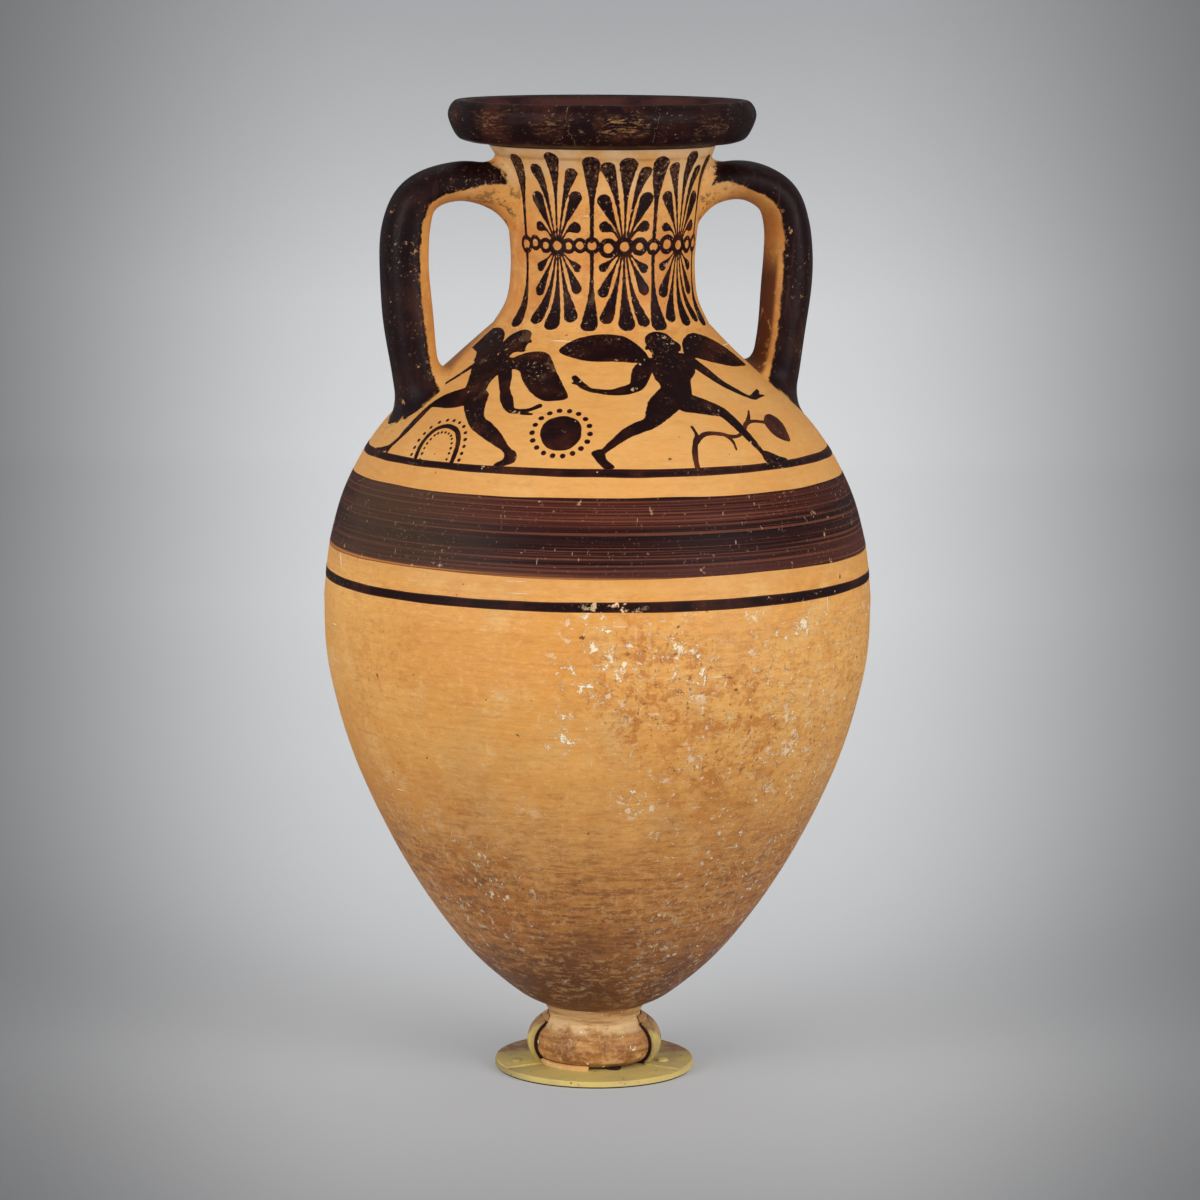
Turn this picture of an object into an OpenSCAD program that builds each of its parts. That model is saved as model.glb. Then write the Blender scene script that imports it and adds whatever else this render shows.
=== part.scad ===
// Neck-amphora of painted terracotta, standing in a small display mount.
// The vase is potted in sections that are luted together: foot, lower wall, shoulder, neck, mouth and two handles.
// The mount is a round plate with two padded half-cups that clasp the foot.
// Frame: millimetres, +Z up, origin at the centre of the mount's underside, handles on the X axis.

/* [Vase] */
// Height of the mouth's top above the surface the mount stands on
total_h = 452; // [445:1:460]
// Largest outer radius of the belly
belly_r = 126.8; // [122:0.2:130]
// Height of the belly's widest place
belly_z = 221; // [216:1:226]
// Outer radius of the neck at its narrowest
neck_r = 42.2; // [41:0.2:44]
// Radius of the straight bore through the neck
neck_bore_r = 35; // [33:0.5:36]
// Largest outer radius of the mouth
mouth_r = 70.7; // [68:0.1:74]
// Thickness of the wall at the belly
wall_t = 7; // [6:0.5:8]

/* [Handles] */
// Radial thickness of each handle
handle_t = 22; // [19:0.5:23]
// Width of each handle across the vase's surface
handle_w = 28; // [24:0.5:30]
// Furthest distance from the vase's axis to the middle of the left handle
left_reach = 91; // [88:0.5:93]
// Furthest distance from the vase's axis to the middle of the right handle, which sits a little closer in
right_reach = 89; // [88:0.5:93]

/* [Foot] */
// Radius of the round section of the foot's bulge
bulge_r = 9.6; // [9:0.1:10]
// Largest outer radius of the foot
foot_r = 28.5; // [28:0.1:30]

/* [Mount] */
// Radius of the round plate
plate_r = 46.5; // [44:0.5:50]
// Thickness of the plate
plate_t = 2.6; // [2:0.1:3]
// Thickness of the felt under the plate
felt_t = 0.6; // [0.4:0.1:1]
// Thickness of the padding between the cups and the foot
lining_t = 1.5; // [1:0.1:1.6]
// Thickness of the cups' sheet metal
cup_t = 1.5; // [1:0.1:2]
// Thickness of the flanges at the bottom of the cups
flange_t = 0.8; // [0.6:0.1:1]
// Height of the pads that the foot rests on
pad_t = 1; // [0.8:0.1:1.2]

/* [Hidden] */

clay = [0.85, 0.61, 0.33];
dark_clay = [0.66, 0.43, 0.24];
slip_black = [0.13, 0.09, 0.08];
olive_paint = [0.72, 0.66, 0.33];
dark_felt = [0.16, 0.10, 0.09];

plate_z = felt_t;                    // underside of the plate
plate_top = plate_z + plate_t;       // top of the plate
rest_z = plate_top + pad_t;          // the plane that the foot rests on
round_fn = 96;

// ---------------------------------------------------------------- curves

// A point on the smooth curve through p0, p1, p2 and p3, between p1 and p2
function curve_point(p0, p1, p2, p3, t) =
    0.5 * (2 * p1 + (p2 - p0) * t + (2 * p0 - 5 * p1 + 4 * p2 - p3) * t * t
        + (3 * p1 - p0 - 3 * p2 + p3) * t * t * t);

// The smooth curve through a list of points, with a number of steps between neighbours
function curve(points, steps) = [
    for (i = [0 : len(points) - 2])
        for (k = [0 : steps - 1])
            curve_point(points[max(i - 1, 0)], points[i], points[i + 1],
                points[min(i + 2, len(points) - 1)], k / steps),
    points[len(points) - 1]
];

// Part of a circle in the profile plane, from one angle to another
function arc(centre, radius, from, to, steps) = [
    for (k = [0 : steps])
        centre + radius * [cos(from + (to - from) * k / steps), sin(from + (to - from) * k / steps)]
];

function reversed(points) = [for (i = [len(points) - 1 : -1 : 0]) points[i]];

// A solid of revolution about the vase's axis
module turned(outline) {
    rotate_extrude($fn = round_fn) polygon(outline);
}

// ---------------------------------------------------------------- vase profile

foot_joint_z = 31;                       // where the lower wall stands on the foot
foot_joint_r = 23.8;
neck_root = [49.5, 350];                 // outer end of the joint between shoulder and neck
mouth_root = [52, 431.6];                // outer end of the joint between neck and mouth
belly_joint_rise = 3;                    // how far the belly's bevelled joint climbs outwards, each way

belly_top = [belly_r - 0.2, belly_z + belly_joint_rise];
belly_inner_r = belly_r - wall_t;
belly_bottom = [belly_inner_r, belly_z - belly_joint_rise];

lower_outer = curve([[foot_joint_r, foot_joint_z], [38, 38.8], [62.5, 61.5], [89, 99.5], [112, 147],
    [belly_r - 2.3, belly_z - 30], belly_top], 4);
shoulder_outer = curve([belly_top, [belly_r - 3.3, belly_z + 29], [114.6, 278], [97.4, 305.5], [67.5, 333],
    neck_root], 4);
neck_outer = curve([neck_root, [neck_r + 1.5, 362], [neck_r, 378], [neck_r + 1.4, 397], [neck_r + 4, 418],
    mouth_root], 4);

lower_inner = curve([[0.01, 41.5], [18, 43.5], [34, 52], [57, 73.5], [81.5, 107], [104, 150],
    [belly_inner_r - 2.5, belly_z - 32], belly_bottom], 4);
shoulder_inner = curve([belly_bottom, [belly_inner_r - 1.6, belly_z + 24], [107.5, 273], [90, 300],
    [60.5, 326.5], [neck_bore_r + 4, 343], [neck_bore_r, 349]], 4);
bore_top = 412;                          // the neck's straight bore ends here
neck_flare = curve([[neck_bore_r, bore_top], [neck_bore_r + 3, 420], [45, 428.5]], 4);

// ---------------------------------------------------------------- vase sections

// The bulge of the foot has a round section about this point
bulge = [foot_r - bulge_r, 12.5];
bulge_low = -asin((bulge[1] - rest_z - 0.4) / bulge_r);    // angle where the bulge meets the resting ring
bulge_high = 52;                                           // angle where the bulge turns into the stem

module foot() {
    stem = curve([bulge + bulge_r * [cos(bulge_high), sin(bulge_high)], [22.5, 23], [21.6, 26.4],
        [foot_joint_r, foot_joint_z]], 3);
    color(dark_clay) turned(concat(
        [[0, rest_z + 4], [13, rest_z + 3], [16, rest_z], [bulge[0] + 2, rest_z]],
        arc(bulge, bulge_r, bulge_low, bulge_high, 12),
        stem,
        [[12, foot_joint_z], [10, foot_joint_z - 3], [0, foot_joint_z - 3]]));
}

// A bevelled joint at the belly, and a boss that seats in the top of the foot
module body_lower() {
    color(clay) turned(concat(
        [[0, foot_joint_z - 3], [10, foot_joint_z - 3], [12, foot_joint_z]],
        lower_outer,
        reversed(lower_inner),
        [[0, 41.5]]));
}

module body_upper() {
    color(clay) turned(concat(shoulder_outer, reversed(shoulder_inner)));
}

module neck() {
    color(clay) turned(concat(neck_outer, reversed(neck_flare), [[neck_bore_r, 349]]));
}

// The lip: a flat underside, a small lower edge, a bulging face and a rounded top that falls away inside
module mouth() {
    lip_low = 432.8;
    lip_face = curve([[60.5, lip_low + 0.2], [65.6, 434.8], [mouth_r - 2, 439.2], [mouth_r, 445],
        [mouth_r - 1.1, total_h - 2.6], [mouth_r - 3.9, total_h], [mouth_r - 7.6, total_h - 0.8]], 4);
    lip_inside = curve([[mouth_r - 7.6, total_h - 0.8], [mouth_r - 9.5, 447.5], [mouth_r - 14, 440],
        [51.5, 433.2], [45, 428.5]], 4);
    color(slip_black) turned(concat([mouth_root, [54.5, lip_low]], lip_face, [for (i = [1 : len(lip_inside) - 1])
        lip_inside[i]]));
}

// A coil of clay pressed into the inside of a joint: it stands proud of the wall by up to its height
module luting_coil(wall, first, last, height) {
    inner = [for (i = [first : last]) wall[i]];
    proud = [for (i = [first : last])
        wall[i] - [height * sin(180 * (i - first) / (last - first)), 0]];
    color(dark_clay) turned(concat(proud, reversed([for (i = [1 : len(inner) - 2]) inner[i]])));
}

// ---------------------------------------------------------------- handles

// Centre line of a handle in the plane X, Z: out of the neck, over the top and down to the shoulder
function handle_line(reach) = curve([[34, 406.5], [44, 410.8], [54.5, 414], [66, 415.2],
    [reach - 12.5, 412.2], [reach - 4.5, 405.5], [reach - 0.8, 394], [reach, 380], [reach - 0.9, 364],
    [reach - 3.3, 342], [reach - 7, 320], [reach - 12, 298]], 4);
handle_sides = 20;

// How thick the strap is along its length: thinner over the arch, thicker where clay is smeared onto the wall
function strap_thickness(t) = 1 - 0.17 * smooth((0.5 - t) / 0.25) + root_swell(t);
function root_swell(t) = 0.3 * smooth((0.16 - t) / 0.14) + 0.12 * smooth((t - 0.84) / 0.16);

// Rises smoothly from 0 at t = 0 to 1 at t = 1
function smooth(t) = let (c = min(max(t, 0), 1)) c * c * (3 - 2 * c);

function ring_on(line, i) = let (
        n = len(line),
        p = line[i],
        q = line[min(i + 1, n - 1)] - line[max(i - 1, 0)],
        along = q / norm(q),
        out = [-along[1], along[0]],
        t = i / (n - 1),
        half_t = handle_t / 2 * strap_thickness(t),
        half_w = handle_w / 2 * (1 + root_swell(t)))
    [for (k = [0 : handle_sides - 1]) let (a = 360 * k / handle_sides)
        [p[0] + out[0] * half_t * cos(a), half_w * sin(a), p[1] + out[1] * half_t * cos(a)]];

// A strap swept along the handle's line, as one closed solid
module strap(line) {
    n = len(line);
    m = handle_sides;
    points = [for (i = [0 : n - 1]) each ring_on(line, i)];
    sides = [for (i = [0 : n - 2], k = [0 : m - 1])
        [i * m + k, i * m + (k + 1) % m, (i + 1) * m + (k + 1) % m, (i + 1) * m + k]];
    polyhedron(points, concat(sides, [[for (k = [m - 1 : -1 : 0]) k]],
        [[for (k = [0 : m - 1]) (n - 1) * m + k]]), convexity = 6);
}

// The strap, cut where it meets the outside of the neck and the shoulder
module handle(reach) {
    color(slip_black) difference() {
        strap(handle_line(reach));
        turned(concat([[0, 200], [belly_r, 200]], shoulder_outer, neck_outer, [[0, mouth_root[1]]]));
    }
}

// ---------------------------------------------------------------- mount

cup_gap = 0.3;               // half the slit between the two cups at the back, in degrees of turn
cup_front_left = 188;        // where the left cup's front edge stands, from +X towards +Y
cup_front_right = -38;       // where the right cup's front edge stands
flange_more_left = 8;        // how much further round than its cup the left flange reaches
flange_more_right = 3;
cup_top = 60;                // how far up the bulge the cups reach, in degrees
lining_top = 64;             // how far up the padding reaches, in degrees
flange_in = 27.2;            // inner edge of the flanges where they reach past their cups
flange_reach = plate_r - 0.4;
screw_r = 1.6;
screw_left = [183, 37.6];    // turn and distance from the axis
screw_right = [-25, 33];

// A solid of revolution over part of a turn
module part_turned(outline, from, to) {
    rotate([0, 0, from]) rotate_extrude(angle = to - from, $fn = round_fn) polygon(outline);
}

// The angle on a circle of this radius about the bulge's centre at a height
function low_angle(radius, z) = -asin((bulge[1] - z) / radius);

// The padding between foot and cup
module lining(from, to) {
    inner = bulge_r;
    outer = bulge_r + lining_t;
    lining_foot = plate_top + flange_t;
    color(dark_felt) part_turned(concat(
        arc(bulge, outer, low_angle(outer, lining_foot), lining_top, 12),
        reversed(arc(bulge, inner, low_angle(inner, lining_foot), bulge_high, 12))), from, to);
}

// Leaves out, or fills, the place of each screw
module at_screws(places) {
    for (place = places) rotate([0, 0, place[0]]) translate([place[1], 0, 0]) children();
}

// Half of the cup that clasps the foot, with the flange that is screwed to the plate
module cup(from, to, flange_from, flange_to) {
    inner = bulge_r + lining_t;
    outer = inner + cup_t;
    flange_top = plate_top + flange_t;
    wall_in = arc(bulge, inner, low_angle(inner, flange_top), cup_top, 12);
    wall_out = arc(bulge, outer, low_angle(outer, flange_top), cup_top, 12);
    color(olive_paint) difference() {
        union() {
            part_turned(concat([[wall_in[0][0], plate_top], [wall_out[0][0], plate_top]], wall_out,
                reversed(wall_in)), from, to);
            part_turned([[flange_in, plate_top], [flange_reach, plate_top], [flange_reach, flange_top],
                [flange_in, flange_top]], flange_from, flange_to);
        }
        at_screws([screw_left, screw_right]) translate([0, 0, plate_top - 1])
            cylinder(r = screw_r, h = flange_t + 2, $fn = 32);
    }
}

module mount_plate() {
    color(olive_paint) difference() {
        turned([[0, plate_z], [plate_r - 0.3, plate_z], [plate_r, plate_z + 0.3],
            [plate_r, plate_top - 0.5], [plate_r - 0.5, plate_top], [0, plate_top]]);
        at_screws([screw_left, screw_right]) translate([0, 0, plate_z - 1])
            cylinder(r = screw_r, h = plate_t + 2, $fn = 32);
    }
}

module base_felt() {
    color(dark_felt) cylinder(r = plate_r - 0.8, h = felt_t, $fn = round_fn);
}

// Two round-headed screws that hold the flanges
module cup_screws() {
    head_z = plate_top + flange_t;
    color(olive_paint) at_screws([screw_left, screw_right])
        rotate_extrude($fn = 32) polygon([[0, plate_z + 0.2], [screw_r, plate_z + 0.2], [screw_r, head_z],
            [2.9, head_z], [2.5, head_z + 0.9], [1.4, head_z + 1.3], [0, head_z + 1.4]]);
}

// Pads under the foot's resting ring, as turn, distance from the axis and radius
pads = [[-78, 22.6, 3.4], [60, 19.8, 3], [165, 19.8, 3]];

module foot_pads() {
    color(dark_felt) for (pad = pads)
        rotate([0, 0, pad[0]]) translate([pad[1], 0, plate_top]) cylinder(r = pad[2], h = pad_t, $fn = 32);
}

// A thin slip of fired clay under the front of the foot, shaped to the bulge above it
module foot_wedge() {
    color(clay) part_turned([[20.5, plate_top], [27, plate_top], [26.8, plate_top + 1.9],
        [25.7, plate_top + 2.2], [24.4, rest_z + 0.3], [21, rest_z - 0.02], [20.5, rest_z - 0.05]],
        190.5, 252);
}

foot();
body_lower();
body_upper();
neck();
mouth();
mirror([1, 0, 0]) handle(left_reach);  // handle_left
handle(right_reach);  // handle_right
luting_coil(lower_inner, 24, 28, 1.6);  // belly_luting_coil
luting_coil(shoulder_inner, 17, 23, 2.2);  // neck_luting_coil
base_felt();
mount_plate();
cup(90 + cup_gap, cup_front_left, 90 + cup_gap, cup_front_left + flange_more_left);  // cup_left
cup(90 - cup_gap, cup_front_right, 90 - cup_gap, cup_front_right - flange_more_right);  // cup_right
lining(90 + cup_gap, cup_front_left + 1);  // lining_left
lining(cup_front_right - 1, 90 - cup_gap);  // lining_right
cup_screws();
foot_pads();
foot_wedge();
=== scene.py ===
"""A painted terracotta neck-amphora in its padded display mount.

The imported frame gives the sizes. The clay, the slip painting and the mount are built around it here.
Lengths in this script are millimetres until a mesh is made, and azimuths are radians measured from the
front of side A (-Y) towards the right handle (+X).
"""
import functools
import math

import bpy
import numpy as np
from mathutils import Matrix, Vector


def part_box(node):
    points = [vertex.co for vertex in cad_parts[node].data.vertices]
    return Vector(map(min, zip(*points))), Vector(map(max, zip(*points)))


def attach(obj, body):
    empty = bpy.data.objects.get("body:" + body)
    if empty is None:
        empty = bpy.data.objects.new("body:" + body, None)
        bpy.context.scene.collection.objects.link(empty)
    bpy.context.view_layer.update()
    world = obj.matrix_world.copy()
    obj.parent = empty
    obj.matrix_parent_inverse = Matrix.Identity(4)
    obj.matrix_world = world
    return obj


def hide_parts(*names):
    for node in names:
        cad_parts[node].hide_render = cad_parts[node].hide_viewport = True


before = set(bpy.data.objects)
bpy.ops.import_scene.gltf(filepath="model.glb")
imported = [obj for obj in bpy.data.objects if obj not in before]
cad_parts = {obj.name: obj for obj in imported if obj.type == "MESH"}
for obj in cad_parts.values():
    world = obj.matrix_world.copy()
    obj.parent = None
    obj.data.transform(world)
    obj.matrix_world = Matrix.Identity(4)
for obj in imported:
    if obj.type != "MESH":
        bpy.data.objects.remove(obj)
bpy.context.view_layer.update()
MM = 0.001

# ------------------------------------------------------------------ sizes from the frame


def top_of(node):
    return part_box(node)[1][2] / MM


def bottom_of(node):
    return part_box(node)[0][2] / MM


def radius_of(node):
    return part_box(node)[1][1] / MM


TOTAL_H = top_of("mouth")
BELLY_R = radius_of("body_lower")
BELLY_Z = top_of("body_lower") - 3.0
MOUTH_R = radius_of("mouth")
FOOT_R = radius_of("foot")
REST_Z = bottom_of("foot")
FOOT_JOINT = (23.8, 31.0)
NECK_ROOT = (49.5, bottom_of("neck") + 1.0)
MOUTH_ROOT = (52.0, 431.6)
NECK_R = 42.2
WALL = 7.0
BORE_R = 35.0
LEFT_REACH = -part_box("handle_left")[0][0] / MM - 11.0
RIGHT_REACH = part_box("handle_right")[1][0] / MM - 11.0

# ------------------------------------------------------------------ curves


def curve(points, steps):
    """The smooth curve through a list of points, with a number of steps between neighbours."""
    pts = [np.array(p, float) for p in points]
    out = []
    for i in range(len(pts) - 1):
        before = pts[max(i - 1, 0)]
        a = pts[i]
        b = pts[i + 1]
        after = pts[min(i + 2, len(pts) - 1)]
        for k in range(steps):
            t = k / steps
            out.append(
                0.5 * (2 * a + (b - before) * t + (2 * before - 5 * a + 4 * b - after) * t * t
                       + (3 * a - before - 3 * b + after) * t ** 3)
            )
    out.append(pts[-1])
    return np.array(out)


def closed_curve(points, steps):
    """The smooth closed curve through a list of points."""
    pts = [np.array(p, float) for p in points]
    n = len(pts)
    wrapped = [pts[-1]] + pts + [pts[0], pts[1]]
    out = curve(wrapped, steps)
    return out[steps:steps * (n + 1)]


def arc(centre, radius, start, end, steps):
    """Part of a circle in the profile plane, from one angle to another, in degrees."""
    angles = np.radians(np.linspace(start, end, steps + 1))
    return np.column_stack([centre[0] + radius * np.cos(angles), centre[1] + radius * np.sin(angles)])


def smooth(t):
    c = np.clip(t, 0.0, 1.0)
    return c * c * (3 - 2 * c)


def evenly(line, step):
    """The same line with points a fixed distance apart."""
    line = np.asarray(line, float)
    gaps = np.hypot(*np.diff(line, axis=0).T)
    along = np.concatenate([[0], np.cumsum(gaps)])
    count = max(2, int(round(along[-1] / step)) + 1)
    wanted = np.linspace(0, along[-1], count)
    return np.column_stack([np.interp(wanted, along, line[:, k]) for k in range(line.shape[1])])


# ------------------------------------------------------------------ profile of the vase

BELLY_TOP = (BELLY_R - 0.2, BELLY_Z + 3)
BELLY_IN = BELLY_R - WALL
BELLY_LOW = (BELLY_IN, BELLY_Z - 3)
BULGE_R = 9.6
BULGE = (FOOT_R - BULGE_R, 12.5)
BULGE_LOW = -math.degrees(math.asin((BULGE[1] - REST_Z - 0.4) / BULGE_R))
BULGE_HIGH = 52
BULGE_END = (BULGE[0] + BULGE_R * math.cos(math.radians(BULGE_HIGH)),
             BULGE[1] + BULGE_R * math.sin(math.radians(BULGE_HIGH)))
LIP_LOW = 432.8

foot_side = np.vstack([
    arc(BULGE, BULGE_R, BULGE_LOW, BULGE_HIGH, 24),
    curve([BULGE_END, (22.5, 23), (21.6, 26.4), FOOT_JOINT], 8)[1:],
])
lower_outer = curve([FOOT_JOINT, (38, 38.8), (62.5, 61.5), (89, 99.5), (112, 147),
                     (BELLY_R - 2.3, BELLY_Z - 30), BELLY_TOP], 20)
shoulder_outer = curve([BELLY_TOP, (BELLY_R - 3.3, BELLY_Z + 29), (114.6, 278), (97.4, 305.5),
                        (67.5, 333), NECK_ROOT], 20)
neck_outer = curve([NECK_ROOT, (NECK_R + 1.5, 362), (NECK_R, 378), (NECK_R + 1.4, 397),
                    (NECK_R + 4, 418), MOUTH_ROOT], 16)
lower_inner = curve([(0.01, 41.5), (18, 43.5), (34, 52), (57, 73.5), (81.5, 107), (104, 150),
                     (BELLY_IN - 2.5, BELLY_Z - 32), BELLY_LOW], 12)
shoulder_inner = curve([BELLY_LOW, (BELLY_IN - 1.6, BELLY_Z + 24), (107.5, 273), (90, 300),
                        (60.5, 326.5), (BORE_R + 4, 343), (BORE_R, 349)], 12)
neck_flare = curve([(BORE_R, 412), (BORE_R + 3, 420), (45, 428.5)], 6)
lip_face = curve([(60.5, LIP_LOW + 0.2), (65.6, 434.8), (MOUTH_R - 2, 439.2), (MOUTH_R, 445),
                  (MOUTH_R - 1.1, TOTAL_H - 2.6), (MOUTH_R - 3.9, TOTAL_H),
                  (MOUTH_R - 7.6, TOTAL_H - 0.8)], 7)
lip_inside = curve([(MOUTH_R - 7.6, TOTAL_H - 0.8), (MOUTH_R - 9.5, 447.5), (MOUTH_R - 14, 440),
                    (51.5, 433.2), (45, 428.5)], 7)

# the outside from the belly's lower line up to the lip, as distance along it against radius and height
outside = evenly(np.vstack([lower_outer, shoulder_outer[1:], neck_outer[1:]]), 0.5)
outside_along = np.concatenate([[0], np.cumsum(np.hypot(*np.diff(outside, axis=0).T))])


def along_at(z):
    """Distance along the outside, from the foot's joint, at a height."""
    return np.interp(z, outside[:, 1], outside_along)


def outside_at(s):
    """Radius and height of the outside at a distance along it, and its outward normal."""
    def place(along):
        return np.stack([np.interp(along, outside_along, outside[:, k]) for k in (0, 1)])

    r, z = place(s)
    reach = 1.5
    dr, dz = place(s + reach) - place(s - reach)
    size = np.hypot(dr, dz)
    return r, z, dz / size, -dr / size


def radius_at(z):
    return np.interp(z, outside[:, 1], outside[:, 0])


def lean_at(z):
    """How far the neck leans, in millimetres to the right and forwards."""
    lean = 1.3 * smooth((z - 335) / 25) - 0.9 * smooth((z - 425) / 10)
    return lean * math.cos(math.radians(12)), -lean * math.sin(math.radians(12))


def thrown(azimuth, r, z):
    """X, Y, Z in millimetres of a point of the vase, with the slight unevenness of the potter's hand."""
    uneven = (0.30 * np.cos(2 * azimuth + 0.013 * z) + 0.16 * np.cos(3 * azimuth - 1.3 - 0.02 * z)
              + 0.05 * np.cos(5 * azimuth + 0.05 * z) + 0.025 * np.sin(0.31 * z + np.cos(azimuth)))
    radius = r + uneven * np.clip(r / 60, 0, 1)
    lean_x, lean_y = lean_at(z)
    x = radius * np.sin(azimuth) + lean_x
    y = -radius * np.cos(azimuth) + lean_y
    return x, y, z + 0.25 * np.sin(azimuth + 0.8) * smooth((z - 425) / 10)


# ------------------------------------------------------------------ meshes


def new_object(name, points, faces, flat_faces=(), values=None, sharp=None):
    """A mesh object from points in millimetres. Edges between two sharp points are crisp."""
    mesh = bpy.data.meshes.new(name)
    mesh.from_pydata((np.asarray(points) * MM).tolist(), [], [list(f) for f in faces])
    shading = np.ones(len(mesh.polygons), bool)
    if len(flat_faces):
        shading[np.asarray(flat_faces)] = False
    mesh.polygons.foreach_set("use_smooth", shading)
    if sharp is not None:
        ends = np.empty(len(mesh.edges) * 2, np.int32)
        mesh.edges.foreach_get("vertices", ends)
        crisp = np.asarray(sharp)[ends].reshape(-1, 2).all(axis=1)
        mesh.attributes.new("sharp_edge", "BOOLEAN", "EDGE").data.foreach_set("value", crisp)
    for key, numbers in (values or {}).items():
        layer = mesh.attributes.new(key, "FLOAT", "POINT")
        layer.data.foreach_set("value", np.asarray(numbers, np.float32))
    mesh.validate()
    mesh.update()
    piece = bpy.data.objects.new(name, mesh)
    bpy.context.scene.collection.objects.link(piece)
    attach(piece, "root")
    return piece


def ring_faces(rows, columns, first=0, flip=False, close_rows=False):
    """Quads between rings of points, each ring closed on itself."""
    out = []
    for i in range(rows if close_rows else rows - 1):
        for j in range(columns):
            a = first + i * columns + j
            b = first + i * columns + (j + 1) % columns
            c = first + ((i + 1) % rows) * columns + (j + 1) % columns
            d = first + ((i + 1) % rows) * columns + j
            out.append((a, d, c, b) if flip else (a, b, c, d))
    return out


def turned(name, outline, columns=360):
    """A solid of revolution. The outline runs anticlockwise; one that starts on the axis also ends there."""
    outline = np.asarray(outline, float)
    capped = outline[0][0] < 0.02
    azimuth = np.linspace(0, 2 * math.pi, columns, endpoint=False)
    body = outline[1:-1] if capped else outline
    rings = []
    for r, z in body:
        x, y, h = thrown(azimuth, r, np.full(columns, z))
        rings.append(np.column_stack([x, y, h]))
    points = np.vstack(rings)
    faces = ring_faces(len(body), columns, close_rows=not capped)
    before = body - np.roll(body, 1, axis=0)
    after = np.roll(body, -1, axis=0) - body
    bend = np.abs(np.angle((after[:, 0] + 1j * after[:, 1]) / (before[:, 0] + 1j * before[:, 1] + 1e-9)))
    sharp = np.repeat(bend > math.radians(32), columns)
    if capped:
        low = len(points)
        points = np.vstack([points, [[0, 0, outline[0][1]], [0, 0, outline[-1][1]]]])
        last = (len(body) - 1) * columns
        faces += [(low, (j + 1) % columns, j) for j in range(columns)]
        faces += [(low + 1, last + j, last + (j + 1) % columns) for j in range(columns)]
        sharp = np.concatenate([sharp, [False, False]])
    return new_object(name, points, faces, sharp=sharp)


# ------------------------------------------------------------------ clay pieces


def make_foot():
    recess = [(0, REST_Z + 4), (6, REST_Z + 3.9), (13, REST_Z + 3), (15.2, REST_Z + 0.8), (16, REST_Z),
              (BULGE[0] + 2, REST_Z), (BULGE[0] + 4, REST_Z + 0.1)]
    seat = [(12, FOOT_JOINT[1]), (10, FOOT_JOINT[1] - 3), (0, FOOT_JOINT[1] - 3)]
    return turned("foot_of_vase", np.vstack([recess, foot_side, seat]), 240)


def make_lower_wall():
    boss = [(0, FOOT_JOINT[1] - 3), (10, FOOT_JOINT[1] - 3), (12, FOOT_JOINT[1])]
    outline = np.vstack([boss, evenly(lower_outer, 2), evenly(lower_inner, 5)[::-1], [(0, 41.5)]])
    return turned("lower_wall", outline)


def make_upper_wall():
    return turned("upper_wall", np.vstack([evenly(shoulder_outer, 1.6), evenly(shoulder_inner, 4)[::-1]]))


def make_neck():
    bore = [(BORE_R, z) for z in np.linspace(405, 349, 12)]
    return turned("neck_of_vase", np.vstack([evenly(neck_outer, 1.2), neck_flare[::-1], bore]))


def make_mouth():
    outline = np.vstack([[MOUTH_ROOT, (54.5, LIP_LOW)], lip_face, lip_inside[1:]])
    return turned("mouth_of_vase", outline, 480)


# ------------------------------------------------------------------ handles

HANDLE_T = 22.0
HANDLE_W = 28.0
FILLET = 9.0
DEEPEST = 2.5


def handle_line(reach):
    """Centre line of a handle in the plane of the handles: out of the neck, over the top, to the shoulder."""
    return curve([(34, 406.5), (44, 410.8), (54.5, 414), (66, 415.2), (reach - 12.5, 412.2),
                  (reach - 4.5, 405.5), (reach - 0.8, 394), (reach, 380), (reach - 0.9, 364),
                  (reach - 3.3, 342), (reach - 7, 320), (reach - 12, 298)], 20)


def off_wall(points, side):
    """Height of points above the vase's outside, and its normal there, in the frame of one handle."""
    lean_x, lean_y = lean_at(points[..., 2])
    x = points[..., 0] - side * lean_x
    y = points[..., 1] - lean_y
    flat_r = np.hypot(x, y)
    slope = (radius_at(points[..., 2] + 2) - radius_at(points[..., 2] - 2)) / 4
    normal = np.stack([x / flat_r, y / flat_r, -slope], -1)
    normal /= np.linalg.norm(normal, axis=-1)[..., None]
    return (flat_r - radius_at(points[..., 2])) / np.sqrt(1 + slope ** 2), normal


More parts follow.
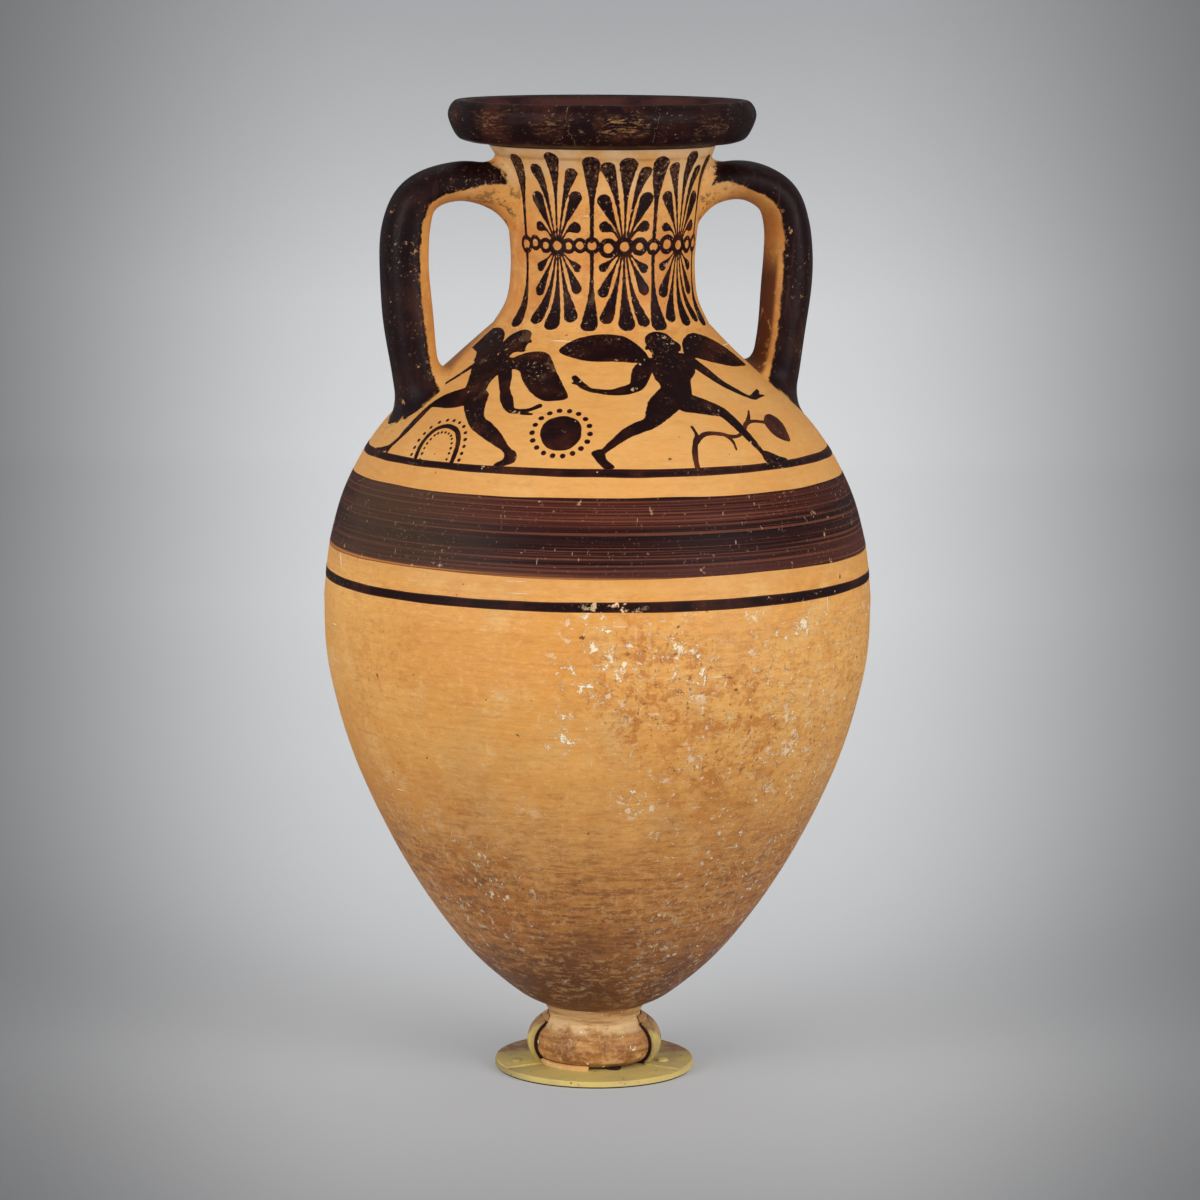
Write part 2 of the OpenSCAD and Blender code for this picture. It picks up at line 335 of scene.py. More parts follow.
def make_handle(name, reach, side):
    """A strap with an oval section that spreads into the wall at both ends. side is -1 left, 1 right."""
    line = evenly(handle_line(reach), 0.9)
    rings = len(line)
    columns = 64
    along = np.gradient(line, axis=0)
    along /= np.hypot(along[:, 0], along[:, 1])[:, None]
    t = np.linspace(0, 1, rings)
    thick = HANDLE_T / 2 * (1 - 0.17 * smooth((0.5 - t) / 0.25) + 0.16 * smooth((0.16 - t) / 0.14))
    wide = HANDLE_W / 2 * (1 - 0.05 * smooth((0.16 - t) / 0.14) + 0.08 * smooth((t - 0.84) / 0.16))
    wobble = 0.25 * np.sin(t * 23 + side) + 0.2 * np.sin(t * 11 + 2)
    a = np.linspace(0, 2 * math.pi, columns, endpoint=False)
    # a full oval, a little flattened on its inner face and with a faint ridge down its outer face
    ridge = 0.035 * np.exp(-(np.sin(a) / 0.22) ** 2) * (np.cos(a) > 0)
    out_part = np.sign(np.cos(a)) * np.abs(np.cos(a)) ** 0.9 + ridge
    side_part = np.sign(np.sin(a)) * np.abs(np.sin(a)) ** 0.95
    points = np.zeros((rings, columns, 3))
    reserve = np.zeros((rings, columns))
    for i in range(rings):
        outward = np.array([-along[i, 1], along[i, 0]])
        x = line[i, 0] + outward[0] * (thick[i] + wobble[i]) * out_part
        z = line[i, 1] + outward[1] * (thick[i] + wobble[i]) * out_part
        y = wide[i] * side_part
        points[i] = np.column_stack([x, y, z])
        reserve[i] = np.cos(a)
    # near the wall the clay is drawn outwards into a fillet, and both ends stop inside the wall
    height, normal = off_wall(points, side)
    near = np.clip((FILLET - height) / FILLET, 0, 1)
    spread = FILLET * 0.85 * (1 - np.sqrt(np.clip(1 - near ** 2, 0, 1)))
    centre = np.repeat(line[:, None, :], columns, axis=1)
    away = np.stack([points[..., 0] - centre[..., 0], points[..., 1], points[..., 2] - centre[..., 1]], -1)
    away -= normal * np.sum(away * normal, -1)[..., None]
    away /= np.maximum(np.linalg.norm(away, axis=-1), 1e-6)[..., None]
    away[..., 1] *= 0.5 + 0.5 * smooth((t - 0.4) / 0.2)[:, None]
    points += away * spread[..., None]
    for _ in range(3):
        height, normal = off_wall(points, side)
        points += normal * np.clip(-DEEPEST - height, 0, None)[..., None]
    height = off_wall(points, side)[0]
    points[..., 0] *= side
    flat = points.reshape(-1, 3)
    faces = ring_faces(rings, columns, flip=side > 0)
    ends = [tuple(range(columns)), tuple((rings - 1) * columns + j for j in range(columns))]
    faces += [ends[0] if side < 0 else ends[0][::-1], ends[1][::-1] if side < 0 else ends[1]]
    values = {"outerness": reserve.ravel(), "off_wall": height.ravel()}
    return new_object(name, flat, faces, values=values)


# ------------------------------------------------------------------ painting

LIFT = 0.13
BURIED = -0.35


def to_segment(px, py, ax, ay, bx, by):
    """How far along a segment the nearest point is, and the distance to it."""
    dx = bx - ax
    dy = by - ay
    t = np.clip(((px - ax) * dx + (py - ay) * dy) / max(dx * dx + dy * dy, 1e-9), 0, 1)
    return t, np.hypot(px - ax - t * dx, py - ay - t * dy)


def stroke(px, py, path, steps=4):
    """Signed distance to a brush stroke: a smooth path of (x, y, half width)."""
    line = curve(path, steps)
    best = np.full(px.shape, 1e3)
    for a, b in zip(line[:-1], line[1:]):
        t, gap = to_segment(px, py, a[0], a[1], b[0], b[1])
        best = np.minimum(best, gap - (a[2] + t * (b[2] - a[2])))
    return best


def leaf(px, py, points, steps=5):
    """Signed distance to the inside of a smooth closed outline."""
    line = closed_curve(points, steps)
    gap = np.full(px.shape, 1e3)
    inside = np.zeros(px.shape, bool)
    for a, b in zip(line, np.roll(line, -1, axis=0)):
        gap = np.minimum(gap, to_segment(px, py, a[0], a[1], b[0], b[1])[1])
        crosses = (a[1] > py) != (b[1] > py)
        inside ^= crosses & (px < (b[0] - a[0]) * (py - a[1]) / (b[1] - a[1] + 1e-12) + a[0])
    return np.where(inside, -gap, gap)


def shape_of(px, py, path):
    """A stroke where the points carry half widths, and otherwise a filled outline."""
    return stroke(px, py, path) if len(path[0]) == 3 else leaf(px, py, path)


def disc(px, py, x, y, r):
    return np.hypot(px - x, py - y) - r


def ring(px, py, x, y, outer, inner):
    gap = np.hypot(px - x, py - y)
    return np.maximum(gap - outer, inner - gap)


def melt(a, b, soft=0.5):
    """Union of two shapes with a little slip filling the corner between them."""
    h = np.clip(0.5 + 0.5 * (b - a) / soft, 0, 1)
    return b + (a - b) * h - soft * h * (1 - h)


def rough(azimuth, s, scale, seed):
    """Smooth noise over the vase's outside, between about -1 and 1."""
    rng = np.random.default_rng(seed)
    total = np.zeros(np.broadcast(azimuth, s).shape)
    for _ in range(7):
        waves = rng.integers(1, 3 + int(300 / scale))
        rise = rng.uniform(0.4, 1.6) * 2 * math.pi / scale
        rise *= rng.choice([-1, 1])
        total = total + np.sin(waves * azimuth + rise * s + rng.uniform(0, 6.3))
    return total / 3.2


def paint(name, field, azimuth, s, closed=False):
    """A thin skin of slip where the field is negative: rows follow s up the wall and columns azimuth.

    Points that lie inside keep their place, and the outline runs between the points on either side of it.
    """
    rows, columns = field.shape
    inside = field < 0
    spots = {}
    where = []
    depth = []

    def vertex(p, q):
        """The vertex at a grid point, or on the outline between two of them."""
        if p[1] == q[1]:
            p = (p[0], p[1] % columns)
            q = (q[0], q[1] % columns)
        if (p, q) not in spots:
            spots[p, q] = len(where)
            near = field[p[0], p[1] % columns]
            far = field[q[0], q[1] % columns]
            t = 0 if p == q else min(max(near / (near - far), 0.02), 0.98)
            where.append((p[0] + (q[0] - p[0]) * t, p[1] + (q[1] - p[1]) * t))
            depth.append(-near if p == q else 0.0)
        return spots[p, q]

    faces = []
    last = columns if closed else columns - 1
    counts = inside[:-1].astype(int) + inside[1:]
    right = np.roll(counts, -1, axis=1)
    busy = np.argwhere((counts + right)[:, :last] > 0)
    for i, j in busy:
        cell = [(i, j), (i, j + 1), (i + 1, j + 1), (i + 1, j)]
        state = [inside[p[0], p[1] % columns] for p in cell]
        loop = []
        for k in range(4):
            p = cell[k]
            q = cell[(k + 1) % 4]
            if state[k]:
                loop.append(vertex(p, p))
            if state[k] != state[(k + 1) % 4]:
                loop.append(vertex(*sorted([p, q])))
        if len(loop) > 2:
            faces.append(tuple(loop))
    where = np.array(where)
    depth = np.array(depth)
    step = azimuth[1] - azimuth[0]
    turn = azimuth[0] + where[:, 1] * step
    height = s[0] + where[:, 0] * (s[1] - s[0])
    r, z, nr, nz = outside_at(height)
    lift = LIFT * (0.25 + 0.75 * smooth(depth / 0.6))
    top = np.column_stack(thrown(turn, r + nr * lift, z + nz * lift))
    low = np.column_stack(thrown(turn, r + nr * BURIED, z + nz * BURIED))
    count = len(where)
    edges = {}
    for face in faces:
        for a, b in zip(face, face[1:] + face[:1]):
            if (b, a) in edges:
                del edges[(b, a)]
            else:
                edges[(a, b)] = True
    walls = [(b, a, a + count, b + count) for a, b in edges]
    under = [tuple(v + count for v in reversed(face)) for face in faces]
    flat = range(len(faces), len(faces) + len(under) + len(walls))
    return new_object(name, np.vstack([top, low]), faces + under + walls, list(flat),
                      {"depth": np.concatenate([depth, depth])})


def grid(low_z, high_z, from_deg, to_deg, step, columns):
    """Distances along the wall and azimuths of a patch of the outside."""
    s0 = float(along_at(low_z))
    s1 = float(along_at(high_z))
    s = np.linspace(s0, s1, int((s1 - s0) / step) + 1)
    whole = to_deg - from_deg >= 360
    azimuth = np.radians(np.linspace(from_deg, to_deg, columns, endpoint=not whole))
    return s, azimuth


def make_band(name, low_z, high_z, ragged, seed):
    """A band painted on the turning vase, with the brush's uneven edges."""
    s, azimuth = grid(low_z - 3, high_z + 3, 0, 360, 0.55, 900)
    ss, az = np.meshgrid(s, azimuth, indexing="ij")

    def edge(z, first):
        """The brush's edge round the vase: long waves with small ones on them."""
        return along_at(z) + ragged * rough(az, ss * 0, 90, first) + 0.12 * rough(az, ss * 0, 12, first + 1)

    field = np.maximum(edge(low_z, seed) - ss, ss - edge(high_z, seed + 2))
    return paint(name, field, azimuth, s, closed=True)


# ---- neck: palmettes above and below a chain of rings

CHAIN_Z = 388.0
ORNAMENT_R = 43.0
PALMETTE_AT = (-40.8, 1.2, 40.6)
DROP_AT = (-66.0, -18.6, 20.3, 60.5)


def palmette_half(px, py, up, rng):
    """Petals of half a palmette, as seven strokes from the ring; up is 1 above the chain and -1 below."""
    if up > 0:
        petals = [
            [(0.0, 3.8, 0.5), (0.1, 12, 0.45), (0.2, 23, 0.95), (0.4, 31.5, 2.3), (0.6, 38.8, 3.6)],
            [(1.1, 4.0, 0.45), (2.2, 11, 0.5), (3.8, 20, 0.95), (5.8, 28, 1.9), (7.9, 34.4, 3.0)],
            [(2.0, 4.0, 0.45), (4.2, 9.4, 0.7), (6.7, 14.8, 1.8), (9.6, 21.6, 3.2)],
            [(2.8, 3.6, 0.45), (5.4, 7.2, 0.7), (9.0, 8.8, 2.5)],
        ]
    else:
        petals = [
            [(0.0, 3.8, 0.5), (0.0, 13, 0.65), (0.1, 22, 1.4), (0.2, 30, 2.6), (0.3, 35.4, 3.5)],
            [(1.1, 4.0, 0.45), (2.5, 13, 0.65), (4.3, 21, 1.3), (6.4, 28, 2.4), (7.9, 32.8, 3.0)],
            [(2.1, 4.0, 0.45), (4.4, 9, 0.6), (6.9, 14, 1.5), (9.5, 19.8, 2.6)],
            [(2.9, 3.6, 0.45), (5.8, 6.2, 0.6), (9.7, 9.6, 2.2)],
        ]
    shape = np.full(px.shape, 1e3)
    for k, petal in enumerate(petals):
        for flip in ((1,) if k == 0 else (-1, 1)):
            grown = rng.uniform(0.96, 1.05)
            fat = rng.uniform(0.86, 1.1)
            sway = rng.uniform(-0.35, 0.35)
            path = [(flip * x + sway * y / 36, up * y * grown, max(r * fat, 0.5)) for x, y, r in petal]
            shape = np.minimum(shape, stroke(px, py, path))
    return shape


def separator(px, py, up, rng):
    """The long drop between two palmettes."""
    fat = rng.uniform(0.88, 1.08)
    sway = rng.uniform(-0.5, 0.5)
    if up > 0:
        path = [(0, 2.5, 1.0), (sway * 0.4, 14, 0.95), (sway * 0.7, 22, 1.3),
                (sway * 0.9, 30, 2.6 * fat), (sway, 38.2, 3.5 * fat)]
    else:
        path = [(0, -2.5, 1.0), (sway * 0.4, -15, 0.9), (sway * 0.7, -23, 1.6),
                (sway * 0.9, -30, 2.8 * fat), (sway, -35.8, 3.6 * fat)]
    return stroke(px, py, path)


def make_neck_ornament(name, centre_deg, seed):
    """Three palmettes and four drops, above and below the chain, across one face of the neck."""
    rng = np.random.default_rng(seed)
    s, azimuth = grid(350.4, 430.5, centre_deg - 74, centre_deg + 72, 0.40, 320)
    ss, az = np.meshgrid(s, azimuth, indexing="ij")
    py = ss - along_at(CHAIN_Z)
    field = np.full(ss.shape, 1e3)
    for at in PALMETTE_AT:
        px = (az - math.radians(centre_deg + at)) * ORNAMENT_R
        for up in (1, -1):
            field = np.minimum(field, palmette_half(px, py, up, rng))
        field = np.minimum(field, ring(px, py, rng.uniform(-0.2, 0.2), 0, 4.6, 2.1))
    for at in DROP_AT:
        px = (az - math.radians(centre_deg + at)) * ORNAMENT_R
        for up in (1, -1):
            field = np.minimum(field, separator(px, py, up, rng))
        size = rng.uniform(3.9, 4.3)
        field = np.minimum(field, ring(px, py, 0, rng.uniform(-0.5, 0.5), size, size * 0.52))
    # one or two rings of the chain between each palmette and the drop beside it
    stops = sorted(PALMETTE_AT + DROP_AT)
    for first, last in zip(stops[:-1], stops[1:]):
        at = (first + last) / 2
        px = (az - math.radians(centre_deg + at)) * ORNAMENT_R
        reach = math.radians(last - first) * ORNAMENT_R / 2
        for side in ((-1 / 3, 1 / 3) if reach > 7.9 else (0.0,)):
            size = rng.uniform(3.4, 3.8) if side else rng.uniform(4.0, 4.6)
            drop = rng.uniform(-0.8, 0.8)
            hole = size * rng.uniform(0.40, 0.50)
            field = np.minimum(field, ring(px, py, side * reach, drop, size, hole))
    field = field + 0.12 * rough(az, ss, 4, seed + 5)
    return paint(name, field, azimuth, s)


# ---- shoulder: two winged runners, a dotted sun, a dotted arch and a plant

GROUND_LOW = 291.3
GROUND_HIGH = 294.6
SCENE_Z = 293.0
CONE = 0.68


def unrolled(az, ss, centre_deg):
    """The shoulder laid flat as a cone about an azimuth: millimetres across and up from the ground line."""
    whole = radius_at(SCENE_Z) / CONE
    reach = whole - (ss - along_at(SCENE_Z))
    angle = CONE * (az - math.radians(centre_deg))
    return reach * np.sin(angle), whole - reach * np.cos(angle)


def head(px, py, x, y, facing):
    """A plain round-crowned head in profile, with rolled hair behind. facing is -1 left, 1 right."""
    def placed(points):
        return [(x + facing * p[0], y + p[1]) + tuple(p[2:]) for p in points]

    return np.minimum.reduce([
        leaf(px, py, placed([(-8.4, 1.0), (-5.6, 6.2), (0.8, 8.0), (6.0, 5.4), (7.2, 0.8), (6.3, -4.4),
                             (1.5, -6.4), (-5.6, -4.4)])),
        stroke(px, py, placed([(5.4, 0.4, 1.8), (8.0, -0.9, 0.8)])),
        stroke(px, py, placed([(3.6, -4.0, 2.4), (6.0, -5.6, 1.4)])),
        disc(px, py, x - facing * 7.2, y - 1.6, 3.4),
        disc(px, py, x - facing * 4.6, y - 4.6, 3.0),
    ])


def right_runner(px, py):
    """Runs to the right and looks back, with both wings spread."""
    paths = [
        [(-54.5, 88.0), (-50, 90.2), (-42, 90.0), (-31, 86.4), (-23, 81.0), (-18.2, 71.5), (-18.5, 66),
         (-24, 65.6), (-32.5, 69.2), (-43.5, 74.2), (-51, 81.2)],
        [(2.0, 64.5), (2.6, 71), (6.5, 76.2), (15, 80), (28.5, 78), (40.5, 74.2), (47.5, 68.2), (46, 66),
         (40, 63.8), (29.5, 61), (17, 61.7), (8, 64)],
        [(-21.5, 66.5), (-10, 66.8), (0, 67.5), (4.6, 63.5), (3.0, 58), (1.0, 55), (-3.4, 51.4),
         (-5.6, 47.5), (-8.3, 41.8), (-14, 36.5), (-22, 36.5), (-29, 42), (-25.6, 46.3), (-20.6, 50),
         (-20.8, 55), (-20.4, 60)],
        [(-8, 69, 3.6), (-8.2, 64, 3.8)],
        [(-20.6, 64.0, 3.4), (-25.2, 60, 4.4), (-29.6, 54.8, 3.6), (-32.2, 53.0, 3.0),
         (-37.5, 52.6, 2.7), (-44, 54.0, 1.8), (-51.2, 59.0, 1.3), (-53.6, 63.6, 1.7), (-54.6, 69.2, 1.5)],
        [(-52.6, 62.6, 1.0), (-56.8, 66.8, 0.5)],
        [(3.2, 62.5, 3.4), (8.4, 55.4, 3.1), (12.8, 49.2, 2.4), (19, 44.2, 1.9), (25.4, 40.6, 1.2),
         (30.2, 41.6, 1.9), (36.4, 46.4, 1.0)],
        [(31, 41.4, 1.2), (38.4, 43.6, 0.6)],
        [(-21, 41.5, 6.6), (-26.5, 38.2, 6.3), (-34.6, 31.8, 3.6), (-42, 30.4, 3.2), (-48.2, 29.3, 2.7),
         (-61.2, 24.6, 1.4)],
        [(-66.8, 25.8), (-64.2, 26.6), (-61.0, 25.2), (-62.0, 20.6), (-60.4, 15.4), (-64.2, 15.6),
         (-66.0, 19.6)],
        [(-13.5, 38.6, 6.2), (-5, 34.6, 5.0), (1.8, 30.8, 3.5), (5.2, 24.6, 3.0), (8.2, 17.4, 2.5),
         (13.2, 7.4, 1.4), (14.2, 4.2, 1.6)],
        [(12.4, 4.2), (13.4, 8.2), (17.2, 8.2), (22.3, 6.2), (28.0, 5.0), (24.0, 2.6), (15.5, 2.0)],
    ]
    parts = [shape_of(px, py, path) for path in paths]
    parts.insert(3, head(px, py, -8.6, 73.4, -1))
    return functools.reduce(melt, parts)


def left_runner(px, py):
    """Runs to the left and looks back; one wing stands up behind and one falls in front."""
    paths = [
        [(10.8, 42.0), (5.5, 39.2), (-1.0, 39.4), (-8.2, 44.8), (-13.6, 51.8), (-17.4, 58.0),
         (-26, 60.6), (-25, 65.2), (-18.8, 68.2), (-11.0, 69.2), (-5.0, 67.2), (-0.8, 61.4), (2.6, 55.6),
         (7.0, 48.8)],
        [(-33.4, 69), (-33.0, 77), (-35.4, 86), (-43.6, 93.2), (-54, 96.6), (-62, 92), (-55.4, 84.6),
         (-48.6, 77.6), (-46.4, 70.4), (-38, 66)],
        [(-46, 69.6), (-37, 71.2), (-29, 69), (-21.8, 65.4), (-23.2, 60.5), (-28, 56.4), (-30.4, 51.6),
         (-30.4, 46), (-27.9, 40.6), (-31.5, 36), (-38.6, 38.6), (-43, 45), (-43.6, 53), (-44.8, 61)],
        [(-26.5, 72, 3.2), (-30, 67, 3.6)],
        [(-44.6, 68.4, 1.7), (-54.6, 62.9, 1.25), (-66.5, 57.9, 0.9)],
        [(-25.4, 61, 3.6), (-22.8, 53.6, 3.3), (-20.6, 46.0, 2.5), (-17.6, 39.6, 3.0),
         (-13.4, 33.0, 1.8), (-6, 32.9, 1.15), (-0.8, 35.9, 1.3)],
        [(-9, 31.2, 0.9), (-3.2, 30.7, 0.6)],
        [(-37, 45.4, 6.2), (-46.5, 45.6, 6.2), (-55, 46.6, 4.1), (-60.8, 45.8, 2.1), (-65.6, 40, 2.5),
         (-70.4, 34.2, 2.3), (-76, 29.8, 1.4), (-80.8, 28, 1.5)],
        [(-80.6, 27.6, 1.7), (-88, 30, 1.3), (-94.2, 33.4, 0.9)],
        [(-80.6, 27.6, 1.5), (-81.8, 25.2, 1.0)],
        [(-34.2, 42, 6.4), (-32.2, 34.6, 4.8), (-28.8, 27.4, 3.9), (-23.4, 22.6, 4.0),
         (-17.6, 17.6, 3.4), (-12.0, 12.4, 2.0), (-8.6, 9.2, 1.7)],
        [(-10.6, 9.8), (-6.6, 10.4), (-4.8, 7.8), (-5.4, 4.2), (-9.4, 2.6), (-15.0, 1.8), (-14.2, 4.0),
         (-11.0, 5.8)],
    ]
    parts = [shape_of(px, py, path) for path in paths]
    parts.insert(3, head(px, py, -24.9, 76.4, 1))
    return functools.reduce(melt, parts)


def sun(px, py):
    """A round disc in a ring of dots."""
    shape = leaf(px, py, [(21.6, 22.4), (18.6, 29.0), (11.2, 30.8), (4.6, 27.0), (3.4, 19.6), (8.0, 12.6),
                          (15.4, 11.8), (20.6, 16.0)])
    for k in range(18):
        angle = 2 * math.pi * k / 18 + 0.1
        dot = disc(px, py, 12.5 + 12.9 * math.cos(angle), 21.4 + 12.7 * math.sin(angle), 1.3)
        shape = np.minimum(shape, dot)
    return shape


def dotted_arch(px, py):
    """A round-headed arch with dots along both sides."""
    line = [(-59.3, 12.5), (-57.0, 21.0), (-51.0, 27.2), (-43.6, 27.2), (-37.4, 22.4), (-35.6, 14.0),
            (-37.4, 4.6)]
    shape = stroke(px, py, [(x, y, 1.25) for x, y in line])
    path = evenly(curve(line, 8), 3.2)
    across = np.gradient(path, axis=0)
    across /= np.hypot(across[:, 0], across[:, 1])[:, None]
    for k in range(len(path)):
        for gap, size in ((3.6, 0.95), (-3.4, 0.75)):
            x = path[k, 0] - across[k, 1] * gap
            y = path[k, 1] + across[k, 0] * gap
            shape = np.minimum(shape, disc(px, py, x, y, size))
    return shape


def plant(px, py):
    """A thin stem that forks, arches over and ends in a leaf."""
    return np.minimum.reduce([shape_of(px, py, path) for path in (
        [(-24.8, 3.2, 1.2), (-23.2, 10, 1.4), (-20.4, 15.7, 1.3), (-17.8, 19.6, 1.0), (-17.8, 24.6, 0.6)],
        [(-20.8, 14.6, 0.8), (-16, 18.7, 1.2), (-10.9, 19.6, 1.2), (-5.4, 18.5, 1.1), (-0.5, 16.8, 1.0),
         (3.2, 16.8, 0.9), (7.0, 18.6, 1.0), (9.4, 21.2, 1.1), (12.5, 23.8, 1.1), (17.5, 25.0, 0.9),
         (25.5, 24.6, 1.0)],
        [(-3.6, 17.4, 0.8), (-1.2, 14.4, 0.9), (-1.2, 9.8, 0.5)],
        [(12.0, 23.6, 1.0), (15.5, 27.0, 0.9), (18.4, 31.2, 0.5)],
        [(24.4, 25.6), (28.4, 29.6), (33.6, 30.2), (37.4, 26.4), (37.4, 20.8), (36.0, 15.2),
         (30.4, 15.2), (25.8, 17.6), (23.8, 21.6)],
    )])


def make_scene(side, turn_deg, seed):
    """The figures on one side of the shoulder, and its plant in thinner slip."""
    s, azimuth = grid(294.0, 350.2, turn_deg - 86, turn_deg + 72, 0.5, 620)
    ss, az = np.meshgrid(s, azimuth, indexing="ij")
    right_x, right_y = unrolled(az, ss, turn_deg + 26)
    left_x, left_y = unrolled(az, ss, turn_deg - 30)
    edge = 0.10 * rough(az, ss, 4, seed) + 0.05 * rough(az, ss, 1.5, seed + 1)
    left = np.minimum.reduce([left_runner(left_x, left_y), sun(left_x, left_y), dotted_arch(left_x, left_y)])
    runners = np.minimum(left, right_runner(right_x, right_y))
    figures = paint("figures_side_" + side, runners + edge, azimuth, s)
    stems = paint("plant_side_" + side, plant(right_x, right_y) + edge, azimuth, s)
    return figures, stems


# ------------------------------------------------------------------ materials


class Value:
    """A node's output, with arithmetic that adds Math nodes."""

    def __init__(self, nodes, socket):
        self.nodes = nodes
        self.socket = socket

    def __add__(self, other):
        return self.nodes.math("ADD", self, other)

    def __sub__(self, other):
        return self.nodes.math("SUBTRACT", self, other)

    def __mul__(self, other):
        return self.nodes.math("MULTIPLY", self, other)

    def __truediv__(self, other):
        return self.nodes.math("DIVIDE", self, other)

    def __pow__(self, other):
        return self.nodes.math("POWER", self, other)

    def __abs__(self):
        return self.nodes.math("ABSOLUTE", self)

    def root(self):
        return self.nodes.math("SQRT", self)

    def clamped(self):
        """The same value, held between 0 and 1."""
        self.socket.node.use_clamp = True
        return self

    def ramp(self, low, high, start=0.0, end=1.0):
        """Rises smoothly from start to end as the value goes from low to high."""
        made = self.nodes.tree.nodes.new("ShaderNodeMapRange")
        made.interpolation_type = "SMOOTHSTEP"
        self.nodes.put(made.inputs["Value"], self)
        for key, number in (("From Min", low), ("From Max", high), ("To Min", start), ("To Max", end)):
            made.inputs[key].default_value = number
        return Value(self.nodes, made.outputs[0])

    def greys(self, low, high, stops):
        """Greys between stops of (value, grey)."""
        made = self.nodes.tree.nodes.new("ShaderNodeMapRange")
        self.nodes.put(made.inputs["Value"], self)
        made.inputs["From Min"].default_value = low
        made.inputs["From Max"].default_value = high
        shades = self.nodes.tree.nodes.new("ShaderNodeValToRGB")
        self.nodes.tree.links.new(made.outputs[0], shades.inputs[0])
        elements = shades.color_ramp.elements
        while len(elements) < len(stops):
            elements.new(0.5)
        for element, (place, level) in zip(elements, stops):
            element.position = (place - low) / (high - low)
            element.color = grey(level)
        return Value(self.nodes, shades.outputs[0])


class Nodes:
    """Builds a material's nodes with short calls."""

    def __init__(self, name):
        self.material = bpy.data.materials.new(name)
        self.material.use_nodes = True
        self.tree = self.material.node_tree
        self.tree.nodes.clear()
        self.place = Value(self, self.tree.nodes.new("ShaderNodeTexCoord").outputs["Object"])
        split = self.node("ShaderNodeSeparateXYZ", Vector=self.place)
        self.x, self.y, self.z = (Value(self, output) for output in split.outputs)

    def node(self, kind, **inputs):
        made = self.tree.nodes.new(kind)
        for key, value in inputs.items():
            self.put(made.inputs[key.replace("_", " ")], value)
        return made

    def put(self, socket, value):
        if isinstance(value, Value):
            self.tree.links.new(value.socket, socket)
        else:
            socket.default_value = value

    def math(self, operation, a, b=0.0):
        made = self.tree.nodes.new("ShaderNodeMath")
        made.operation = operation
        self.put(made.inputs[0], a)
        self.put(made.inputs[1], b)
        return Value(self, made.outputs[0])

    def most(self, total, *others):
        """The largest of the values."""
        for other in others:
            total = self.math("MAXIMUM", total, other)
        return total

    def stretched(self, x, y, z, turned_by=(0, 0, 0)):
        """The object's coordinates, scaled along each axis and turned."""
        made = self.node("ShaderNodeMapping", Vector=self.place, Scale=(x, y, z), Rotation=turned_by)
        return Value(self, made.outputs[0])

    def noise(self, scale, detail=3.0, rough=0.5, vector=None, distortion=0.0):
        made = self.node("ShaderNodeTexNoise", Vector=vector or self.place, Scale=scale, Detail=detail,
                         Roughness=rough, Distortion=distortion)
        return Value(self, made.outputs["Fac"])

    def streaks(self, level, up, detail, rough):
        """Noise at one scale round the vase and another up it."""
        return self.noise(1.0, detail, rough, self.stretched(level, level, up))

    def cells(self, scale):
        made = self.node("ShaderNodeTexVoronoi", Vector=self.place, Scale=scale)
        return Value(self, made.outputs["Distance"])

    def spot(self, turn_deg, z, inner, outer, wobble=0.5):
        """Near a place on the vase's outside: 1 within inner and 0 beyond outer, in millimetres, unevenly."""
        turn = math.radians(turn_deg)
        r = MOUTH_R if z > LIP_FACE_Z else float(radius_at(z))
        made = self.tree.nodes.new("ShaderNodeVectorMath")
        made.operation = "DISTANCE"
        self.put(made.inputs[0], self.place)
        made.inputs[1].default_value = (r * math.sin(turn) * MM, -r * math.cos(turn) * MM, z * MM)
        uneven = (self.noise(60, 4, 0.6) - 0.5) * (wobble * outer * MM)
        return (Value(self, made.outputs["Value"]) + uneven).ramp(outer * MM, inner * MM)

    def mix(self, factor, a, b, mode="MIX"):
        made = self.tree.nodes.new("ShaderNodeMix")
        made.data_type = "RGBA"
        made.blend_type = mode
        self.put(made.inputs[0], factor)
        self.put(made.inputs[6], a)
        self.put(made.inputs[7], b)
        return Value(self, made.outputs[2])

    def layers(self, colour, *coats):
        """A colour with others laid over it in turn, each as (mask, colour)."""
        for mask, shade in coats:
            colour = self.mix(mask, colour, shade)
        return colour

    def attribute(self, name):
        made = self.tree.nodes.new("ShaderNodeAttribute")
        made.attribute_name = name
        return Value(self, made.outputs["Fac"])

    def bump(self, height, distance, strength, after=None):
        made = self.node("ShaderNodeBump", Height=height, Distance=distance, Strength=strength)
        if after is not None:
            self.put(made.inputs["Normal"], after)
        return Value(self, made.outputs[0])

    def finish(self, colour, roughness, normal, specular, **others):
        shader = self.node("ShaderNodeBsdfPrincipled", Base_Color=colour, Roughness=roughness, Normal=normal,
                           Specular_IOR_Level=specular, **others)
        out = self.tree.nodes.new("ShaderNodeOutputMaterial")
        self.tree.links.new(shader.outputs[0], out.inputs[0])
        return self.material


def srgb(red, green, blue):
    """A colour from 0 to 255 screen values to the linear values that shaders take."""
    def linear(v):
        v = v / 255
        return v / 12.92 if v <= 0.04045 else ((v + 0.055) / 1.055) ** 2.4
    return (linear(red), linear(green), linear(blue), 1.0)


def grey(level):
    return (level, level, level, 1.0)


